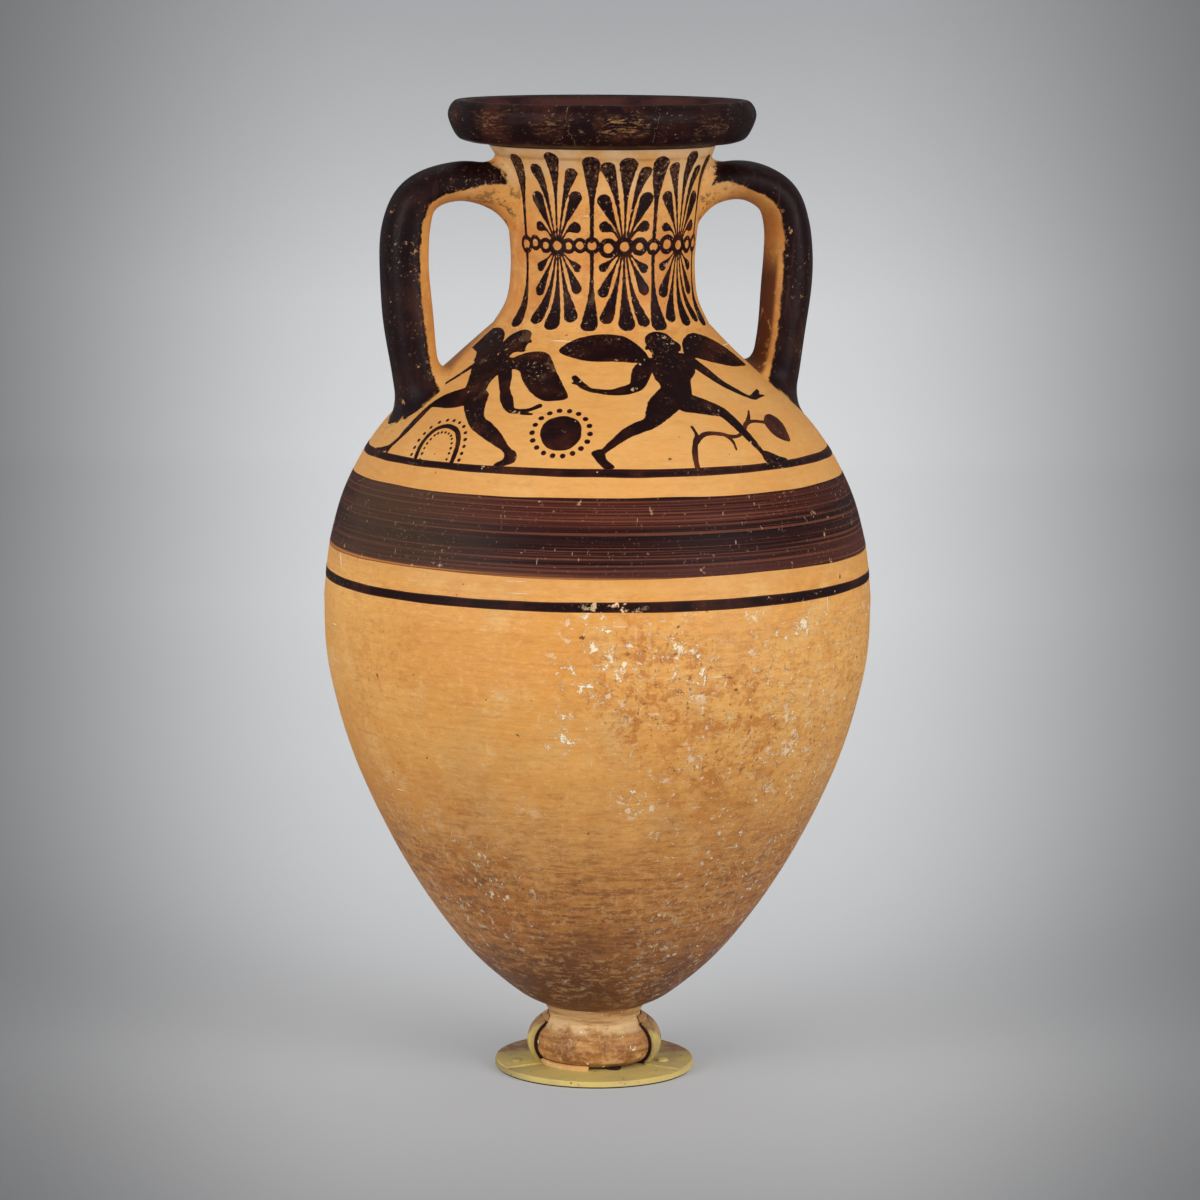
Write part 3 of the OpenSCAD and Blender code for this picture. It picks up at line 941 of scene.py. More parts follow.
CLAY = srgb(223, 164, 88)
CLAY_WARM = srgb(212, 146, 68)
CLAY_PALE = srgb(229, 183, 116)
# brown and dark of the lower belly, partly the clay's own tone and partly painted shade
CLAY_BROWN_AND_SHADE = srgb(158, 95, 44)
CLAY_DARK_AND_SHADE = srgb(94, 52, 28)
RUST = srgb(172, 100, 34)
LIME = srgb(244, 230, 200)
SLIP = srgb(25, 9, 10)
SLIP_BROWN = srgb(82, 39, 24)
# grey of a painted sheen on the broad band
SLIP_SHEEN_GREY = srgb(82, 64, 50)
LIP_FACE_Z = 436
CLAY_SHINE = 0.28
SLIP_SHINE = 0.06


def worn_side(n):
    """How weathered the wall is, from 0 to 1: more to the right on side A, and in clouds on side B."""
    drift = (n.noise(10, 3, 0.55) - 0.5) * 0.16
    return n.mix(n.y.ramp(-0.02, 0.05), (n.x + drift).ramp(-0.035, 0.055), drift.ramp(-0.02, 0.03))


def clay_colour(n):
    """Fired clay: warm buff above, browner and darker towards the foot, partly its own tone and partly
    painted shade, with stains and wheel lines.
    """
    z = n.z
    above_foot = z.ramp(0.0285, 0.0325)
    brushed = n.streaks(60, 430, 5, 0.72)
    grain = n.streaks(190, 560, 5, 0.76)
    rougher = n.most(worn_side(n) * z.ramp(0.245, 0.200), z.ramp(0.190, 0.110, 0.0, 0.7))
    # browner and darker towards the foot, in clouds and downward runs: partly the clay's own tone and partly
    # painted shade where the lower belly faces down
    cloud = n.noise(15, 5, 0.62) + n.streaks(70, 22, 5, 0.65) * 0.5
    low = z + (cloud - 0.75) * 0.09
    low_dark_streaks = low.ramp(0.150, 0.090) * above_foot * (brushed * 0.6 + grain * 0.4).ramp(0.44, 0.58)
    # small tan flakes, thickest above the foot
    flakes = n.mix(z.ramp(0.085, 0.060), n.streaks(300, 170, 5, 0.78), n.streaks(150, 420, 5, 0.78))
    flakes = (flakes.ramp(0.520, 0.570) * low.ramp(0.165, 0.095) * above_foot
              * n.noise(30, 4, 0.65).ramp(0.36, 0.52, 0.25, 0.85))
    # rusty mottling where the surface is weathered, and stains
    weather = worn_side(n) * z.ramp(0.240, 0.205)
    rusted = n.most(n.spot(-1, 200, 12, 44, 0.9), n.spot(16, 176, 8, 46, 0.9) * 0.7,
                    n.spot(-44, 100, 10, 42, 0.9) * 0.8, n.spot(-62, 205, 6, 40, 0.9) * 0.35,
                    n.spot(165, 180, 12, 60, 0.9) * 0.8) * z.ramp(0.242, 0.226)
    rust_where = (weather * 0.40 + rusted + 0.06).clamped()
    speck_where = weather * 0.55 + n.noise(13, 3, 0.6).ramp(0.55, 0.70, 0.05, 0.4)
    speck_where = (speck_where + rusted * 0.7).clamped()
    stain = n.most(n.spot(-45, 104, 2, 17), n.spot(-52, 86, 2, 14) * 0.7,
                   n.spot(34, 262, 3, 22) * 0.3, n.spot(150, 120, 4, 30) * 0.6)
    # iron has tinted the neck beside the chain, and the strip under the lip is pale
    tint = z.ramp(0.405, 0.392) * z.ramp(0.352, 0.370) * n.noise(60, 4, 0.6).ramp(0.38, 0.66)
    neck_mottle = n.noise(140, 6, 0.80).ramp(0.49, 0.58) * z.ramp(0.330, 0.350)
    neck_grey = z.ramp(0.404, 0.420) * n.noise(70, 4, 0.6).ramp(0.34, 0.60)
    strip = z.ramp(0.4275, 0.4310) * n.noise(90, 4, 0.6).ramp(0.30, 0.55)
    groove = z.ramp(0.4262, 0.4270) * z.ramp(0.4284, 0.4274) * n.noise(50, 4, 0.6).ramp(0.40, 0.55)
    return n.layers(
        CLAY,
        (n.noise(9, 4, 0.55).ramp(0.35, 0.65), CLAY_WARM),
        (n.noise(38, 5, 0.6).ramp(0.50, 0.72, 0.0, 0.55), CLAY_PALE),
        (n.streaks(6, 520, 4, 0.65).ramp(0.44, 0.70, 0.0, 0.34), CLAY_WARM),
        (n.streaks(5, 120, 3, 0.6).ramp(0.5, 0.75, 0.0, 0.22), CLAY_PALE),
        (n.noise(22, 5, 0.65).ramp(0.52, 0.70, 0.0, 0.28), srgb(198, 168, 112)),
        (brushed.ramp(0.50, 0.68, 0.0, 0.42), srgb(188, 126, 66)),
        (grain.ramp(0.52, 0.64) * rougher.ramp(0.0, 1.0, 0.22, 0.50), srgb(164, 106, 50)),
        (grain.ramp(0.47, 0.36) * rougher.ramp(0.0, 1.0, 0.16, 0.34), srgb(244, 204, 142)),
        (z.ramp(0.236, 0.250, 0.0, 0.50), srgb(198, 140, 74)),
        # partly painted shade: browner and darker towards the foot
        (low.ramp(0.200, 0.065, 0.0, 0.74), CLAY_BROWN_AND_SHADE),
        (low_dark_streaks * 0.66, srgb(100, 54, 30)),
        (low.ramp(0.088, 0.040, 0.0, 0.92) * above_foot, CLAY_DARK_AND_SHADE),
        (flakes * z.ramp(0.045, 0.085, 0.5, 0.66), srgb(206, 154, 94)),
        (n.noise(95, 7, 0.80).ramp(0.485, 0.57) * rust_where * 0.68, RUST),
        (n.noise(360, 4, 0.74).ramp(0.575, 0.64) * speck_where * 0.75, srgb(122, 64, 24)),
        (stain * n.noise(120, 5, 0.74).ramp(0.42, 0.56) * 0.8, srgb(112, 60, 26)),
        (n.noise(240, 2, 0.4).ramp(0.755, 0.785) * 0.8, srgb(58, 36, 24)),
        (tint * 0.62, srgb(188, 106, 42)),
        (neck_mottle * 0.46, srgb(184, 114, 50)),
        (neck_grey * 0.40, srgb(214, 190, 150)),
        (strip * 0.62, srgb(228, 192, 150)),
        (groove * 0.45, srgb(146, 92, 48)),
        (root_dirt(n), srgb(92, 66, 44)),
    )


def root_dirt(n):
    """Dark crumbs and grime where the handles join the wall."""
    def near(across, up):
        gap = (abs(n.x) - across) ** 2.0 + (n.z - up) ** 2.0 + (n.y * 0.8) ** 2.0
        return gap.root().ramp(0.024, 0.010)
    return n.most(near(0.050, 0.406), near(0.084, 0.306)) * n.noise(230, 5, 0.75).ramp(0.53, 0.60) * 0.8


def lime_mask(n):
    """Pale crusts, chips and short scratches below the belly, thickest down the front and to the right."""
    below = n.z.ramp(0.242, 0.225)
    worn = worn_side(n)
    column = n.most(n.spot(-13, 228, 5, 20), n.spot(-14, 208, 6, 22), n.spot(-19, 180, 4, 16),
                    n.spot(8, 206, 3, 20), n.spot(-2, 150, 2, 18), n.spot(36, 170, 6, 44, 0.9) * 0.45,
                    n.spot(170, 190, 5, 36))
    cluster = n.noise(19, 3, 0.6).ramp(0.54, 0.68)
    chips = n.noise(160, 5, 0.76, distortion=0.3).ramp(0.565, 0.585)
    crust = below * n.most(column, cluster * (worn + 0.15)) * chips
    flecks = below * n.most(column * 0.8, worn * 0.75, 0.10) * n.noise(290, 4, 0.74).ramp(0.605, 0.640)
    powder = below * worn * n.noise(620, 3, 0.7).ramp(0.63, 0.72) * 0.55
    # chips in short downward runs above the foot, thickest to the left
    low_place = n.most(n.spot(-48, 96, 12, 52, 0.8), n.spot(120, 90, 10, 60, 0.8),
                       n.z.ramp(0.115, 0.07, 0.0, 0.4))
    runs = n.streaks(240, 130, 5, 0.78).ramp(0.580, 0.615) * low_place
    runs = runs * n.noise(30, 4, 0.65).ramp(0.40, 0.54) * 0.75
    scratch = n.streaks(26, 900, 2, 0.5).ramp(0.69, 0.73) * n.noise(45, 2, 0.5).ramp(0.54, 0.60) * 0.65
    tilted = n.stretched(900, 22, 30, (0.5, 0.9, 0.2))
    scuff = n.noise(1.0, 2, 0.5, tilted).ramp(0.70, 0.74) * n.noise(38, 2, 0.5).ramp(0.56, 0.62) * 0.6
    return n.most(crust, flecks, powder, runs, scratch, scuff)


def clay_bump(n):
    """Wheel marks, grain and pits of the burnished surface."""
    normal = n.bump(n.noise(30, 3, 0.5), 0.0014, 0.35)
    normal = n.bump(n.streaks(4, 420, 4, 0.6), 0.0004, 0.6, normal)
    normal = n.bump(n.noise(900, 3, 0.6), 0.00025, 0.5, normal)
    return n.bump(n.cells(330).ramp(0.0, 0.16), 0.00025, 0.25, normal)


def clay_material():
    n = Nodes("clay")
    lime = lime_mask(n)
    colour = n.mix(lime * 0.94, clay_colour(n), LIME)
    rough = n.noise(60, 4, 0.6).ramp(0.3, 0.7, 0.46, 0.64) + lime * 0.25
    return n.finish(colour, rough, n.bump(lime, 0.0004, 0.9, clay_bump(n)), CLAY_SHINE)


def foot_material():
    """The foot: brown, worn pale on its stem and its shoulder, and pale on its lower edge, partly from wear
    and partly as a painted highlight.
    """
    n = Nodes("foot_clay")
    z = n.z
    streaks = n.streaks(50, 420, 5, 0.65)
    clouds = n.noise(75, 5, 0.65)
    stem = (z + (clouds - 0.5) * 0.010).ramp(0.0205, 0.0235)
    stem_clay = n.mix(streaks.ramp(0.4, 0.62), srgb(206, 166, 112), srgb(158, 110, 62))
    shoulder = z.ramp(0.0185, 0.0210) * z.ramp(0.0255, 0.0225) * n.noise(110, 5, 0.7).ramp(0.36, 0.55)
    # the lower edge: partly worn pale and partly a painted highlight
    rim = z.ramp(0.0105, 0.0085) * z.ramp(0.0060, 0.0072) * n.noise(120, 5, 0.7).ramp(0.46, 0.58)
    chips = n.noise(260, 4, 0.7).ramp(0.655, 0.675)
    colour = n.layers(
        srgb(138, 86, 44),
        (streaks.ramp(0.38, 0.64), srgb(184, 132, 72)),
        (clouds.ramp(0.48, 0.66, 0.0, 0.6), srgb(112, 66, 36)),
        (n.noise(420, 6, 0.80).ramp(0.50, 0.58) * 0.35, srgb(214, 168, 112)),
        (stem * 0.85, stem_clay),
        (shoulder * 0.62, srgb(232, 198, 148)),
        (rim * 0.8, srgb(222, 176, 122)),
        (z.ramp(0.0066, 0.0048, 0.0, 0.7), srgb(104, 64, 50)),
        (n.noise(210, 4, 0.65).ramp(0.60, 0.68) * clouds.ramp(0.5, 0.4) * 0.5, srgb(160, 66, 34)),
        (chips, LIME),
    )
    rough = clouds.ramp(0.3, 0.7, 0.48, 0.66)
    return n.finish(colour, rough, n.bump(chips, 0.0004, 0.8, clay_bump(n)), CLAY_SHINE)


def slip_colour(n, thin):
    """Iron slip: near black where it is thick, red-brown where it is thin."""
    return n.layers(
        SLIP,
        (n.noise(55, 4, 0.6).ramp(0.48, 0.75, 0.0, 0.5), SLIP_BROWN),
        (n.streaks(40, 300, 3, 0.6).ramp(0.58, 0.8, 0.0, 0.3), SLIP_BROWN),
        (thin, SLIP_BROWN),
    )


def flaked(n, amount):
    """Where slip has flaked off: specks in clusters."""
    specks = n.noise(620, 4, 0.75).ramp(0.60, 0.68) * n.noise(28, 4, 0.65).ramp(0.48, 0.72)
    return (n.most(specks, n.noise(170, 4, 0.7).ramp(0.665, 0.70) * 0.8) * amount).clamped()


def bare_clay(n):
    return n.mix(0.4, clay_colour(n), LIME)


def figure_slip():
    """Slip of the figures and the neck's ornament, worn on the petals' tips."""
    n = Nodes("figure_slip")
    thin = n.attribute("depth").ramp(0.0, 0.55, 0.65, 0.0)
    tips = n.z.ramp(0.406, 0.424) * n.noise(560, 6, 0.82).ramp(0.47, 0.58)
    neck_specks = n.noise(560, 4, 0.75).ramp(0.62, 0.69) * n.z.ramp(0.340, 0.350)
    bare = n.most(flaked(n, 0.75), neck_specks * 0.8)
    colour = n.layers(
        slip_colour(n, thin),
        (n.noise(48, 4, 0.65).ramp(0.60, 0.70) * 0.6, srgb(96, 70, 52)),
        (tips * 0.34, srgb(138, 100, 72)),
        (bare, bare_clay(n)),
    )
    rough = n.noise(90, 4, 0.6).ramp(0.3, 0.7, 0.36, 0.55) + bare * 0.3
    normal = n.bump(n.noise(260, 4, 0.6), 0.0003, 0.5, n.bump(bare, -0.0003, 0.6))
    return n.finish(colour, rough, normal, SLIP_SHINE)


def thin_slip():
    """The plant's thinner, browner slip."""
    n = Nodes("thin_slip")
    thin = n.noise(70, 4, 0.6).ramp(0.35, 0.65, 0.25, 0.9)
    colour = n.mix(flaked(n, 0.7), slip_colour(n, thin), clay_colour(n))
    return n.finish(colour, 0.5, n.bump(n.noise(260, 4, 0.6), 0.0003, 0.5), 0.07)


def band_slip():
    """Slip laid on the turning vase: fine streaks all round, thin in places, with a painted grey sheen on its
    left side.
    """
    n = Nodes("band_slip")
    z = n.z
    streaks = n.streaks(3, 900, 5, 0.7)
    thin = n.streaks(3, 130, 3, 0.55).ramp(0.38, 0.62) * streaks.ramp(0.30, 0.75, 0.45, 1.0)
    scratch = n.streaks(620, 16, 2, 0.5).ramp(0.70, 0.735) * n.noise(34, 3, 0.6).ramp(0.50, 0.56) * 0.80
    # painted highlight: a grey sheen over the band's left side
    painted_sheen = n.x.ramp(-0.05, -0.105) * n.noise(10, 3, 0.5).ramp(0.3, 0.6)
    fringe = z.ramp(0.2512, 0.2490) * n.streaks(2, 760, 2, 0.5).ramp(0.45, 0.55)
    bare = flaked(n, 0.6)
    colour = n.layers(
        srgb(30, 10, 11),
        (thin, srgb(80, 36, 26)),
        (z.ramp(0.262, 0.252, 0.0, 0.35), srgb(96, 54, 46)),
        (streaks.ramp(0.52, 0.60, 0.0, 0.80), srgb(106, 60, 44)),
        (streaks.ramp(0.46, 0.40, 0.0, 0.85), srgb(16, 8, 11)),
        (n.noise(500, 4, 0.75).ramp(0.62, 0.70) * 0.60, srgb(158, 114, 80)),
        (scratch, srgb(168, 136, 104)),
        # a dark turn where the brush overlapped
        (z.ramp(0.2625, 0.2640) * z.ramp(0.2672, 0.2655) * 0.5, srgb(20, 10, 14)),
        # painted highlight on the band's left side
        (painted_sheen * 0.5, SLIP_SHEEN_GREY),
        # thin brown turns along the lower edge
        (fringe, srgb(176, 112, 60)),
        (n.attribute("depth").ramp(0.0, 0.6, 0.6, 0.0), SLIP_BROWN),
        (bare, bare_clay(n)),
    )
    rough = streaks.ramp(0.3, 0.7, 0.40, 0.55)
    return n.finish(colour, rough, n.bump(streaks, 0.0003, 0.6, n.bump(bare, -0.0002, 0.5)), SLIP_SHINE)


def line_slip():
    """Slip of the narrow lines, chipped at the front of the lower one."""
    n = Nodes("line_slip")
    streaks = n.streaks(4, 1100, 4, 0.7)
    thin = n.most(n.attribute("depth").ramp(0.0, 0.8, 0.8, 0.0),
                  n.noise(24, 4, 0.6).ramp(0.5, 0.75, 0.0, 0.6))
    chipped = n.spot(-9, 236, 2, 20) * n.noise(240, 4, 0.7).ramp(0.56, 0.62)
    bare = (flaked(n, 0.9) + chipped).clamped()
    colour = n.layers(slip_colour(n, thin), (streaks.ramp(0.5, 0.7, 0.0, 0.6), SLIP_BROWN),
                      (bare, bare_clay(n)))
    return n.finish(colour, 0.5, n.bump(streaks, 0.0002, 0.5, n.bump(bare, -0.0002, 0.5)), 0.07)


def mouth_slip():
    """Thick dark slip over the lip and down the throat, cracked and rubbed through in patches."""
    n = Nodes("mouth_slip")
    streaks = n.streaks(14, 520, 4, 0.65)
    patch = n.noise(30, 4, 0.6)
    side = n.z.ramp(0.4375, 0.4395) * n.z.ramp(0.4490, 0.4460)
    rub_place = n.most(n.spot(-4, 444, 5, 15), n.spot(-31, 442, 2, 11) * 0.55, n.spot(-57, 443, 3, 14) * 0.5,
                       n.spot(34, 443, 3, 18) * 0.3, n.spot(120, 443, 3, 22) * 0.8,
                       n.noise(30, 3, 0.6).ramp(0.62, 0.72, 0.0, 0.7))
    rub = side * rub_place * n.streaks(210, 950, 6, 0.82).ramp(0.515, 0.575)
    warm = rub_place * n.noise(90, 5, 0.7).ramp(0.46, 0.60)
    # upright cracks, at angles round the lip
    turn = n.math("ARCTAN2", n.x, n.y * -1.0) + (n.noise(75, 4, 0.6) - 0.5) * 0.22
    cracks = n.most(*[abs(turn - place).ramp(0.0045, 0.0015) for place in (-0.41, 0.147, 2.2, -2.6)])
    inside = (n.x ** 2.0 + n.y ** 2.0).root().ramp((MOUTH_R - 6.3) * MM, (MOUTH_R - 8.3) * MM)
    throat = n.mix(patch.ramp(0.40, 0.65), srgb(72, 41, 36), srgb(42, 22, 23))
    colour = n.layers(
        SLIP,
        (streaks.ramp(0.5, 0.8, 0.0, 0.5), srgb(56, 30, 30)),
        (patch.ramp(0.52, 0.75, 0.0, 0.45), srgb(78, 40, 28)),
        (rub * 0.66, srgb(178, 128, 82)),
        (warm * 0.50, srgb(84, 42, 28)),
        (n.streaks(240, 420, 5, 0.76).ramp(0.60, 0.66) * 0.55, srgb(132, 98, 76)),
        (n.noise(620, 4, 0.78).ramp(0.655, 0.70) * 0.7, srgb(206, 172, 124)),
        (cracks * n.noise(190, 3, 0.6).ramp(0.40, 0.55) * 0.42, srgb(140, 100, 74)),
        (inside * n.z.ramp(0.4300, 0.4330), throat),
    )
    rough = n.noise(80, 4, 0.6).ramp(0.3, 0.7, 0.40, 0.58)
    normal = n.bump(streaks, 0.0004, 0.5, n.bump(rub + cracks, -0.0005, 0.7))
    return n.finish(colour, rough, n.bump(n.noise(40, 3, 0.5), 0.0010, 0.4, normal), 0.07)


def handle_slip():
    """Slip on the outside of a handle and bare clay on its inner face, worn at the roots."""
    n = Nodes("handle_slip")
    z = n.z
    clear = n.attribute("off_wall")
    outerness = n.attribute("outerness")
    upper = z.ramp(0.380, 0.400) * clear.ramp(30.0, 6.0)
    outer = outerness + (n.noise(130, 5, 0.7) - 0.5) * 0.42 - upper * 0.55
    high = z.ramp(0.37, 0.40)
    reach = clear + (n.noise(90, 5, 0.7) - 0.5) * (high * 9.0 + 5.0) - high * 4.0
    painted = outer.ramp(-0.47, -0.38) * reach.ramp(-0.8, 0.4)
    long_streaks = n.streaks(300, 26, 4, 0.6)
    slip = n.layers(
        SLIP,
        (long_streaks.ramp(0.48, 0.75, 0.0, 0.5), srgb(62, 34, 30)),
        (n.noise(30, 4, 0.6).ramp(0.5, 0.75, 0.0, 0.5), srgb(78, 46, 34)),
        (long_streaks.ramp(0.64, 0.74, 0.0, 0.3), srgb(100, 78, 66)),
        # painted shade: the slip is darker on the left handle's outer arch
        (n.x.ramp(-0.078, -0.098, 0.0, 0.5), srgb(16, 8, 12)),
        (flaked(n, 0.70), srgb(196, 150, 104)),
        (outer.ramp(-0.15, -0.42) * n.noise(300, 5, 0.75).ramp(0.56, 0.62) * 0.6, srgb(190, 138, 86)),
    )
    brown = clear.ramp(3.0, 14.0) * n.noise(50, 4, 0.6).ramp(0.4, 0.7, 0.10, 0.50)
    # the right handle's lower inner face: a darker brown, partly thin slip and partly painted shade under the
    # arch
    inner = (outerness.ramp(-0.55, -0.72) * n.x.ramp(0.0, 0.01) * z.ramp(0.390, 0.370)
             * n.noise(120, 4, 0.7).ramp(0.30, 0.44))
    bare = n.layers(clay_colour(n), (brown, srgb(160, 104, 56)), (inner, srgb(96, 54, 34)))
    normal = n.bump(n.noise(200, 5, 0.65), 0.0006, 0.5, n.bump(painted, 0.0002, 0.6))
    return n.finish(n.mix(painted, bare, slip), painted.ramp(0.0, 1.0, 0.6, 0.42), normal, 0.08)


def mount_paint(name, toned):
    """Brushed olive-yellow paint, chipped in places, with painted shadow of the vase on the plate's rear and
    left. The cups are toned like clay above and behind.
    """
    n = Nodes(name)
    brushed = n.noise(1.0, 4, 0.6, n.stretched(60, 420, 420))
    colour = n.layers(
        srgb(200, 178, 96),
        (n.noise(45, 4, 0.6).ramp(0.35, 0.7), srgb(176, 152, 96)),
        (brushed.ramp(0.45, 0.8, 0.0, 0.45), srgb(212, 194, 122)),
    )
    if toned:
        # the right cup is toned further forward than the left one
        back = n.y + n.mix(n.x.ramp(-0.001, 0.001), grey(0.0044), grey(0.0194))
        rise = n.z + back * 0.85 + (n.noise(220, 5, 0.7) - 0.5) * 0.010
        clay = n.mix(n.noise(150, 5, 0.65).ramp(0.4, 0.62), srgb(176, 132, 84), srgb(128, 88, 56))
        colour = n.mix(rise.ramp(0.0195, 0.0235, 0.0, 0.92), colour, clay)
    else:
        # painted shadow: the vase's shadow on the rear and left of the plate
        far = (n.y - n.x * 0.55).ramp(-0.018, 0.020)
        colour = n.layers(colour, (0.35, srgb(212, 184, 118)), (far * 0.62, srgb(116, 98, 62)))
    chips = n.noise(330, 4, 0.7).ramp(0.650, 0.675)
    normal = n.bump(brushed, 0.0003, 0.4, n.bump(chips, -0.0004, 0.8))
    return n.finish(n.mix(chips, colour, srgb(58, 40, 24)), 0.55, normal, 0.35)


def padding():
    n = Nodes("padding")
    colour = n.mix(n.noise(300, 4, 0.6), srgb(36, 16, 16), srgb(66, 34, 30))
    return n.finish(colour, 0.85, n.bump(n.noise(700, 4, 0.7), 0.0005, 0.8), 0.2)


def felt():
    n = Nodes("felt")
    colour = n.mix(n.noise(400, 4, 0.6), srgb(26, 20, 20), srgb(54, 40, 34))
    return n.finish(colour, 0.95, n.bump(n.noise(900, 5, 0.75), 0.0006, 0.9), 0.15)


def toned_fill():
    n = Nodes("toned_fill")
    colour = n.mix(n.noise(120, 5, 0.65).ramp(0.38, 0.65), srgb(186, 144, 94), srgb(136, 98, 62))
    return n.finish(colour, 0.7, n.bump(n.noise(400, 5, 0.7), 0.0006, 0.8), 0.25)


def shim_clay():
    n = Nodes("shim_clay")
    layered = n.streaks(120, 900, 4, 0.6).ramp(0.5, 0.7, 0.0, 0.5)
    colour = n.layers(srgb(222, 178, 116), (n.noise(160, 5, 0.65), srgb(190, 136, 76)),
                      (layered, srgb(236, 204, 150)))
    return n.finish(colour, 0.8, n.bump(n.noise(500, 5, 0.7), 0.0007, 0.8), 0.25)


# ------------------------------------------------------------------ the vase

CLAY_MATERIAL = clay_material()
FIGURE_SLIP = figure_slip()
THIN_SLIP = thin_slip()
LINE_SLIP = line_slip()


def dress(piece, material, slot, *nodes):
    """Gives a piece its material and hides the CAD nodes it stands for. The slot is not used."""
    piece.data.materials.append(material)
    if nodes:
        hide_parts(*nodes)


dress(make_foot(), foot_material(), "foot_clay", "foot")
dress(make_lower_wall(), CLAY_MATERIAL, "clay", "body_lower")
dress(make_upper_wall(), CLAY_MATERIAL, "clay", "body_upper")
dress(make_neck(), CLAY_MATERIAL, "clay", "neck")
dress(make_mouth(), mouth_slip(), "slip", "mouth")
HANDLE_SLIP = handle_slip()
dress(make_handle("strap_left", LEFT_REACH, -1), HANDLE_SLIP, "slip", "handle_left")
dress(make_handle("strap_right", RIGHT_REACH, 1), HANDLE_SLIP, "slip", "handle_right")

dress(make_band("ground_line", GROUND_LOW, GROUND_HIGH, 0.22, 3), LINE_SLIP, "slip")
dress(make_band("broad_band", 248.5, 282.5, 0.4, 13), band_slip(), "slip")
dress(make_band("lower_line", 233.8, 238.2, 0.3, 23), LINE_SLIP, "slip")
for side, turn_deg, seed in (("a", 0, 31), ("b", 180, 61)):
    dress(make_neck_ornament("palmettes_side_" + side, turn_deg, seed), FIGURE_SLIP, "slip")
    figures, stems = make_scene(side, turn_deg, seed + 9)
    dress(figures, FIGURE_SLIP, "slip")
    dress(stems, THIN_SLIP, "slip")


def make_cup_fill():
    """Toned filler that closes the gap between the cups' top edge and the foot's stem."""
    section = closed_curve([(22.0, 21.6), (24.6, 21.0), (25.5, 23.0), (23.6, 24.6), (21.9, 25.4)], 3)
    turns = np.radians(np.linspace(-36, 186, 112))
    rings = []
    for turn in turns:
        thin = 1 - 0.15 * math.sin(7 * turn) ** 2
        r = 21.9 + (section[:, 0] - 21.9) * thin
        rings.append(np.column_stack([r * math.cos(turn), r * math.sin(turn), section[:, 1]]))
    count = len(section)
    faces = ring_faces(len(turns), count, flip=True)
    faces.append(tuple(range(count)))
    faces.append(tuple((len(turns) - 1) * count + k for k in reversed(range(count))))
    return new_object("cup_fill", np.vstack(rings), faces)


dress(make_cup_fill(), toned_fill(), "mount_paint")

# ------------------------------------------------------------------ carried-over nodes


def coat(node, material):
    """Gives a CAD node a finished material."""
    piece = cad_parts[node]
    if piece.data.materials:
        for k in range(len(piece.data.materials)):
            piece.data.materials[k] = material
    else:
        piece.data.materials.append(material)


for material, nodes in (
    (mount_paint("mount_paint", toned=False), ("mount_plate", "cup_screws")),
    (mount_paint("cup_paint", toned=True), ("cup_left", "cup_right")),
    (padding(), ("lining_left", "lining_right")),
    (felt(), ("base_felt", "foot_pads")),
    (CLAY_MATERIAL, ("belly_luting_coil", "neck_luting_coil")),
    (shim_clay(), ("foot_wedge",)),
):
    for node in nodes:
        coat(node, material)

# ------------------------------------------------------------------ stage, lights and camera


CAMERA_TURN = -12.0
CAMERA_RISE = 8.4
CAMERA_ROLL = 0.42
CAMERA_FAR = 2.158
LENS = 139.5


def stage_material():
    """Pale and matt, with a pool of light behind the vase."""
    n = Nodes("stage")
    # the pool widens away from the vase, and the floor dims towards its front
    side = abs(n.x - 0.005) / n.math("MAXIMUM", n.y + 2.16, 1.0)
    depth = n.y + n.z
    # the stage's grey, with painted shade dimming the floor towards its front
    albedo_and_shade = depth.greys(-4.0, 4.5, ((-0.8, 0.50), (-0.25, 0.36), (0.03, 0.50), (4.0, 0.50)))
    glow = depth.greys(-4.0, 4.5, (
        (-3.6, 0.16), (-0.9, 0.16), (-0.3, 0.0), (0.03, 0.10), (0.37, 0.18), (0.82, 0.28),
        (1.47, 0.37), (2.46, 0.40), (2.94, 0.31), (3.26, 0.17), (3.52, 0.07), (4.2, 0.06)))
    # well outside the picture the stage is evenly pale
    beyond = n.math("MAXIMUM", side.ramp(0.26, 0.50), n.y.ramp(-0.75, -1.05))
    # painted shade: the stage darkens towards its sides
    colour = n.mix(1.0, albedo_and_shade, side.ramp(0.045, 0.150, 1.0, 0.48), "MULTIPLY")
    colour = n.mix(1.0, n.mix(beyond, colour, grey(0.45)), (0.975, 1.0, 1.03, 1), "MULTIPLY")
    pool = n.mix(1.0, glow, side.ramp(0.030, 0.175, 1.11, 0.02), "MULTIPLY")
    return n.finish(colour, 0.9, n.bump(n.noise(3), 0.001, 0.1), 0.1,
                    Emission_Color=n.mix(beyond, pool, grey(0.14)), Emission_Strength=1.0)


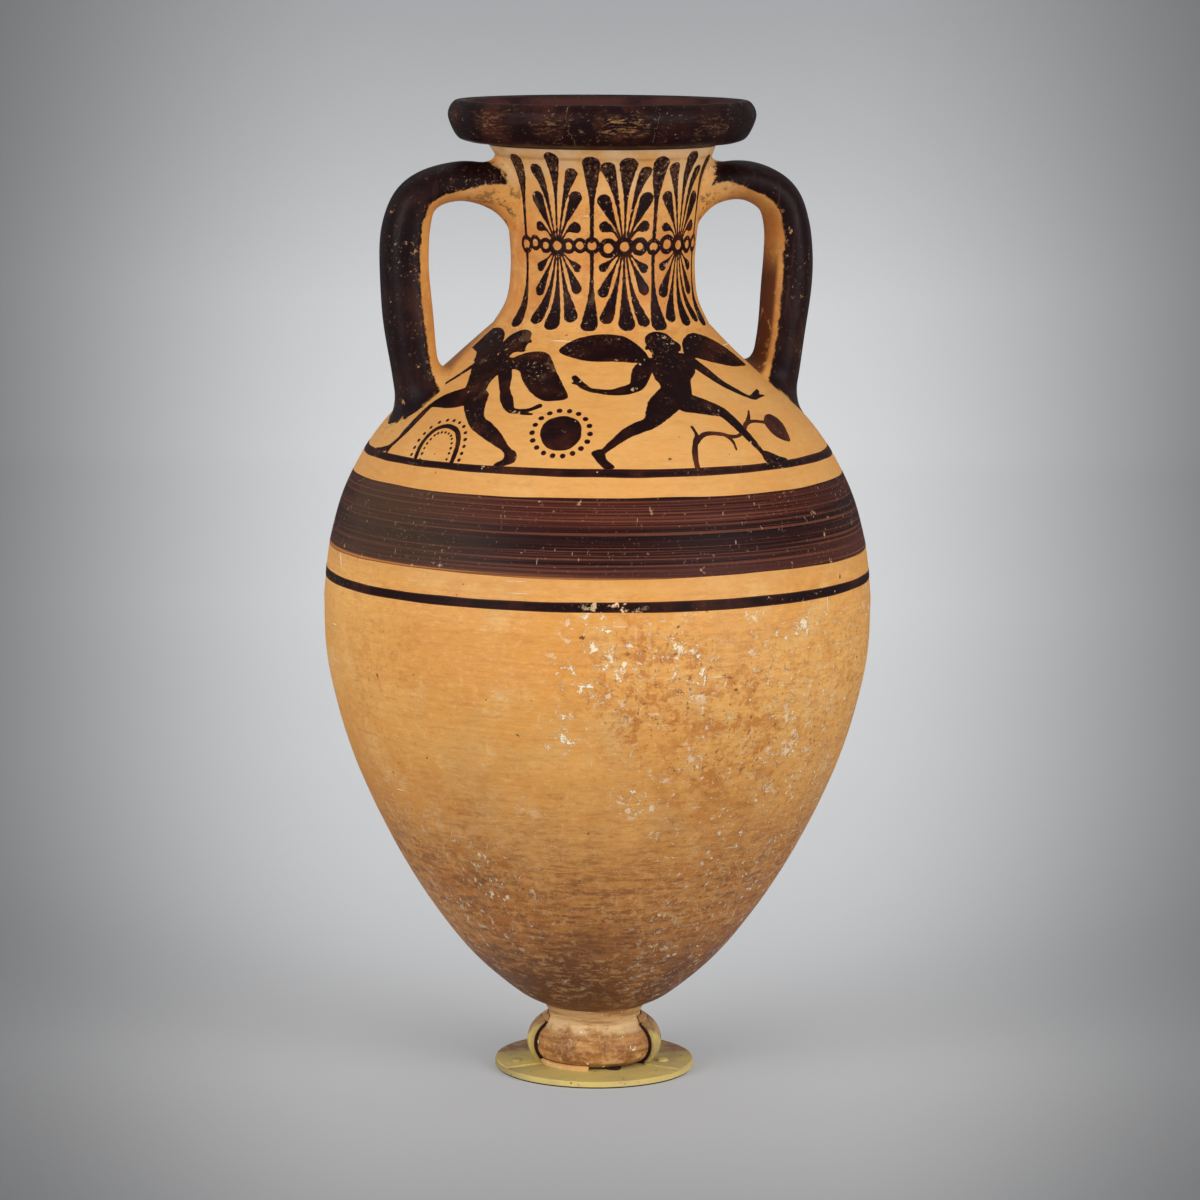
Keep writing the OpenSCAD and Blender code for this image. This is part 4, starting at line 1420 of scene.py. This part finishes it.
def make_stage():
    """A pale round floor that sweeps up into a wall all round."""
    outline = np.vstack([[(0.02, 0), (1.2, 0)], arc((2.4, 0.8), 0.8, -90, 0, 20), [(3.2, 2.6)]])
    columns = 96
    turns = np.linspace(0, 2 * math.pi, columns, endpoint=False)
    points = np.vstack([np.column_stack([r * np.sin(turns), -r * np.cos(turns), np.full(columns, z)])
                        for r, z in outline])
    faces = ring_faces(len(outline), columns)
    faces.append(tuple(range(columns))[::-1])
    mesh = bpy.data.meshes.new("stage")
    mesh.from_pydata(points.tolist(), [], faces)
    mesh.polygons.foreach_set("use_smooth", [True] * len(faces))
    mesh.materials.append(stage_material())
    floor = bpy.data.objects.new("stage", mesh)
    floor.rotation_euler = (0, 0, math.radians(CAMERA_TURN))
    bpy.context.scene.collection.objects.link(floor)


def towards(turn_deg, rise_deg, distance):
    """A place seen from the vase: turn 0 is straight in front, positive to the right."""
    turn = math.radians(turn_deg)
    rise = math.radians(rise_deg)
    level = math.cos(rise)
    return np.array([math.sin(turn) * level, -math.cos(turn) * level, math.sin(rise)]) * distance


def look_at(thing, place, target, roll_deg=0.0):
    facing = Vector(target) - Vector(place)
    turn = facing.to_track_quat("-Z", "Y").to_matrix().to_4x4()
    roll = Matrix.Rotation(math.radians(roll_deg), 4, "Z")
    thing.matrix_world = Matrix.Translation(Vector(place)) @ turn @ roll


def make_camera():
    data = bpy.data.cameras.new("camera")
    data.lens = LENS
    data.sensor_width = 36.0
    camera = bpy.data.objects.new("camera", data)
    bpy.context.scene.collection.objects.link(camera)
    right = np.array([math.cos(math.radians(CAMERA_TURN)), math.sin(math.radians(CAMERA_TURN)), 0.0])
    target = np.array([0, 0, 0.2211]) + 0.0012 * right
    look_at(camera, target + towards(CAMERA_TURN, CAMERA_RISE, CAMERA_FAR), target, CAMERA_ROLL)
    bpy.context.scene.camera = camera


def make_light(name, turn_deg, rise_deg, distance, size, power, target=(0, 0, 0.23)):
    data = bpy.data.lights.new(name, "AREA")
    data.shape = "RECTANGLE"
    data.size = size[0]
    data.size_y = size[1]
    data.energy = power
    light = bpy.data.objects.new(name, data)
    bpy.context.scene.collection.objects.link(light)
    look_at(light, np.array(target) + towards(CAMERA_TURN + turn_deg, rise_deg, distance), target)


def make_lights():
    make_light("key_left", -50, 16, 2.1, (1.1, 1.5), 29)
    make_light("key_right", 50, 16, 2.1, (1.1, 1.5), 30)
    make_light("fill_front", 0, 16, 2.4, (1.2, 0.8), 2)
    world = bpy.data.worlds.new("studio")
    world.use_nodes = True
    background = world.node_tree.nodes["Background"]
    background.inputs["Color"].default_value = (1, 1, 1, 1)
    background.inputs["Strength"].default_value = 0.52
    bpy.context.scene.world = world


make_stage()
make_camera()
make_lights()
bpy.context.scene.view_settings.view_transform = "Standard"
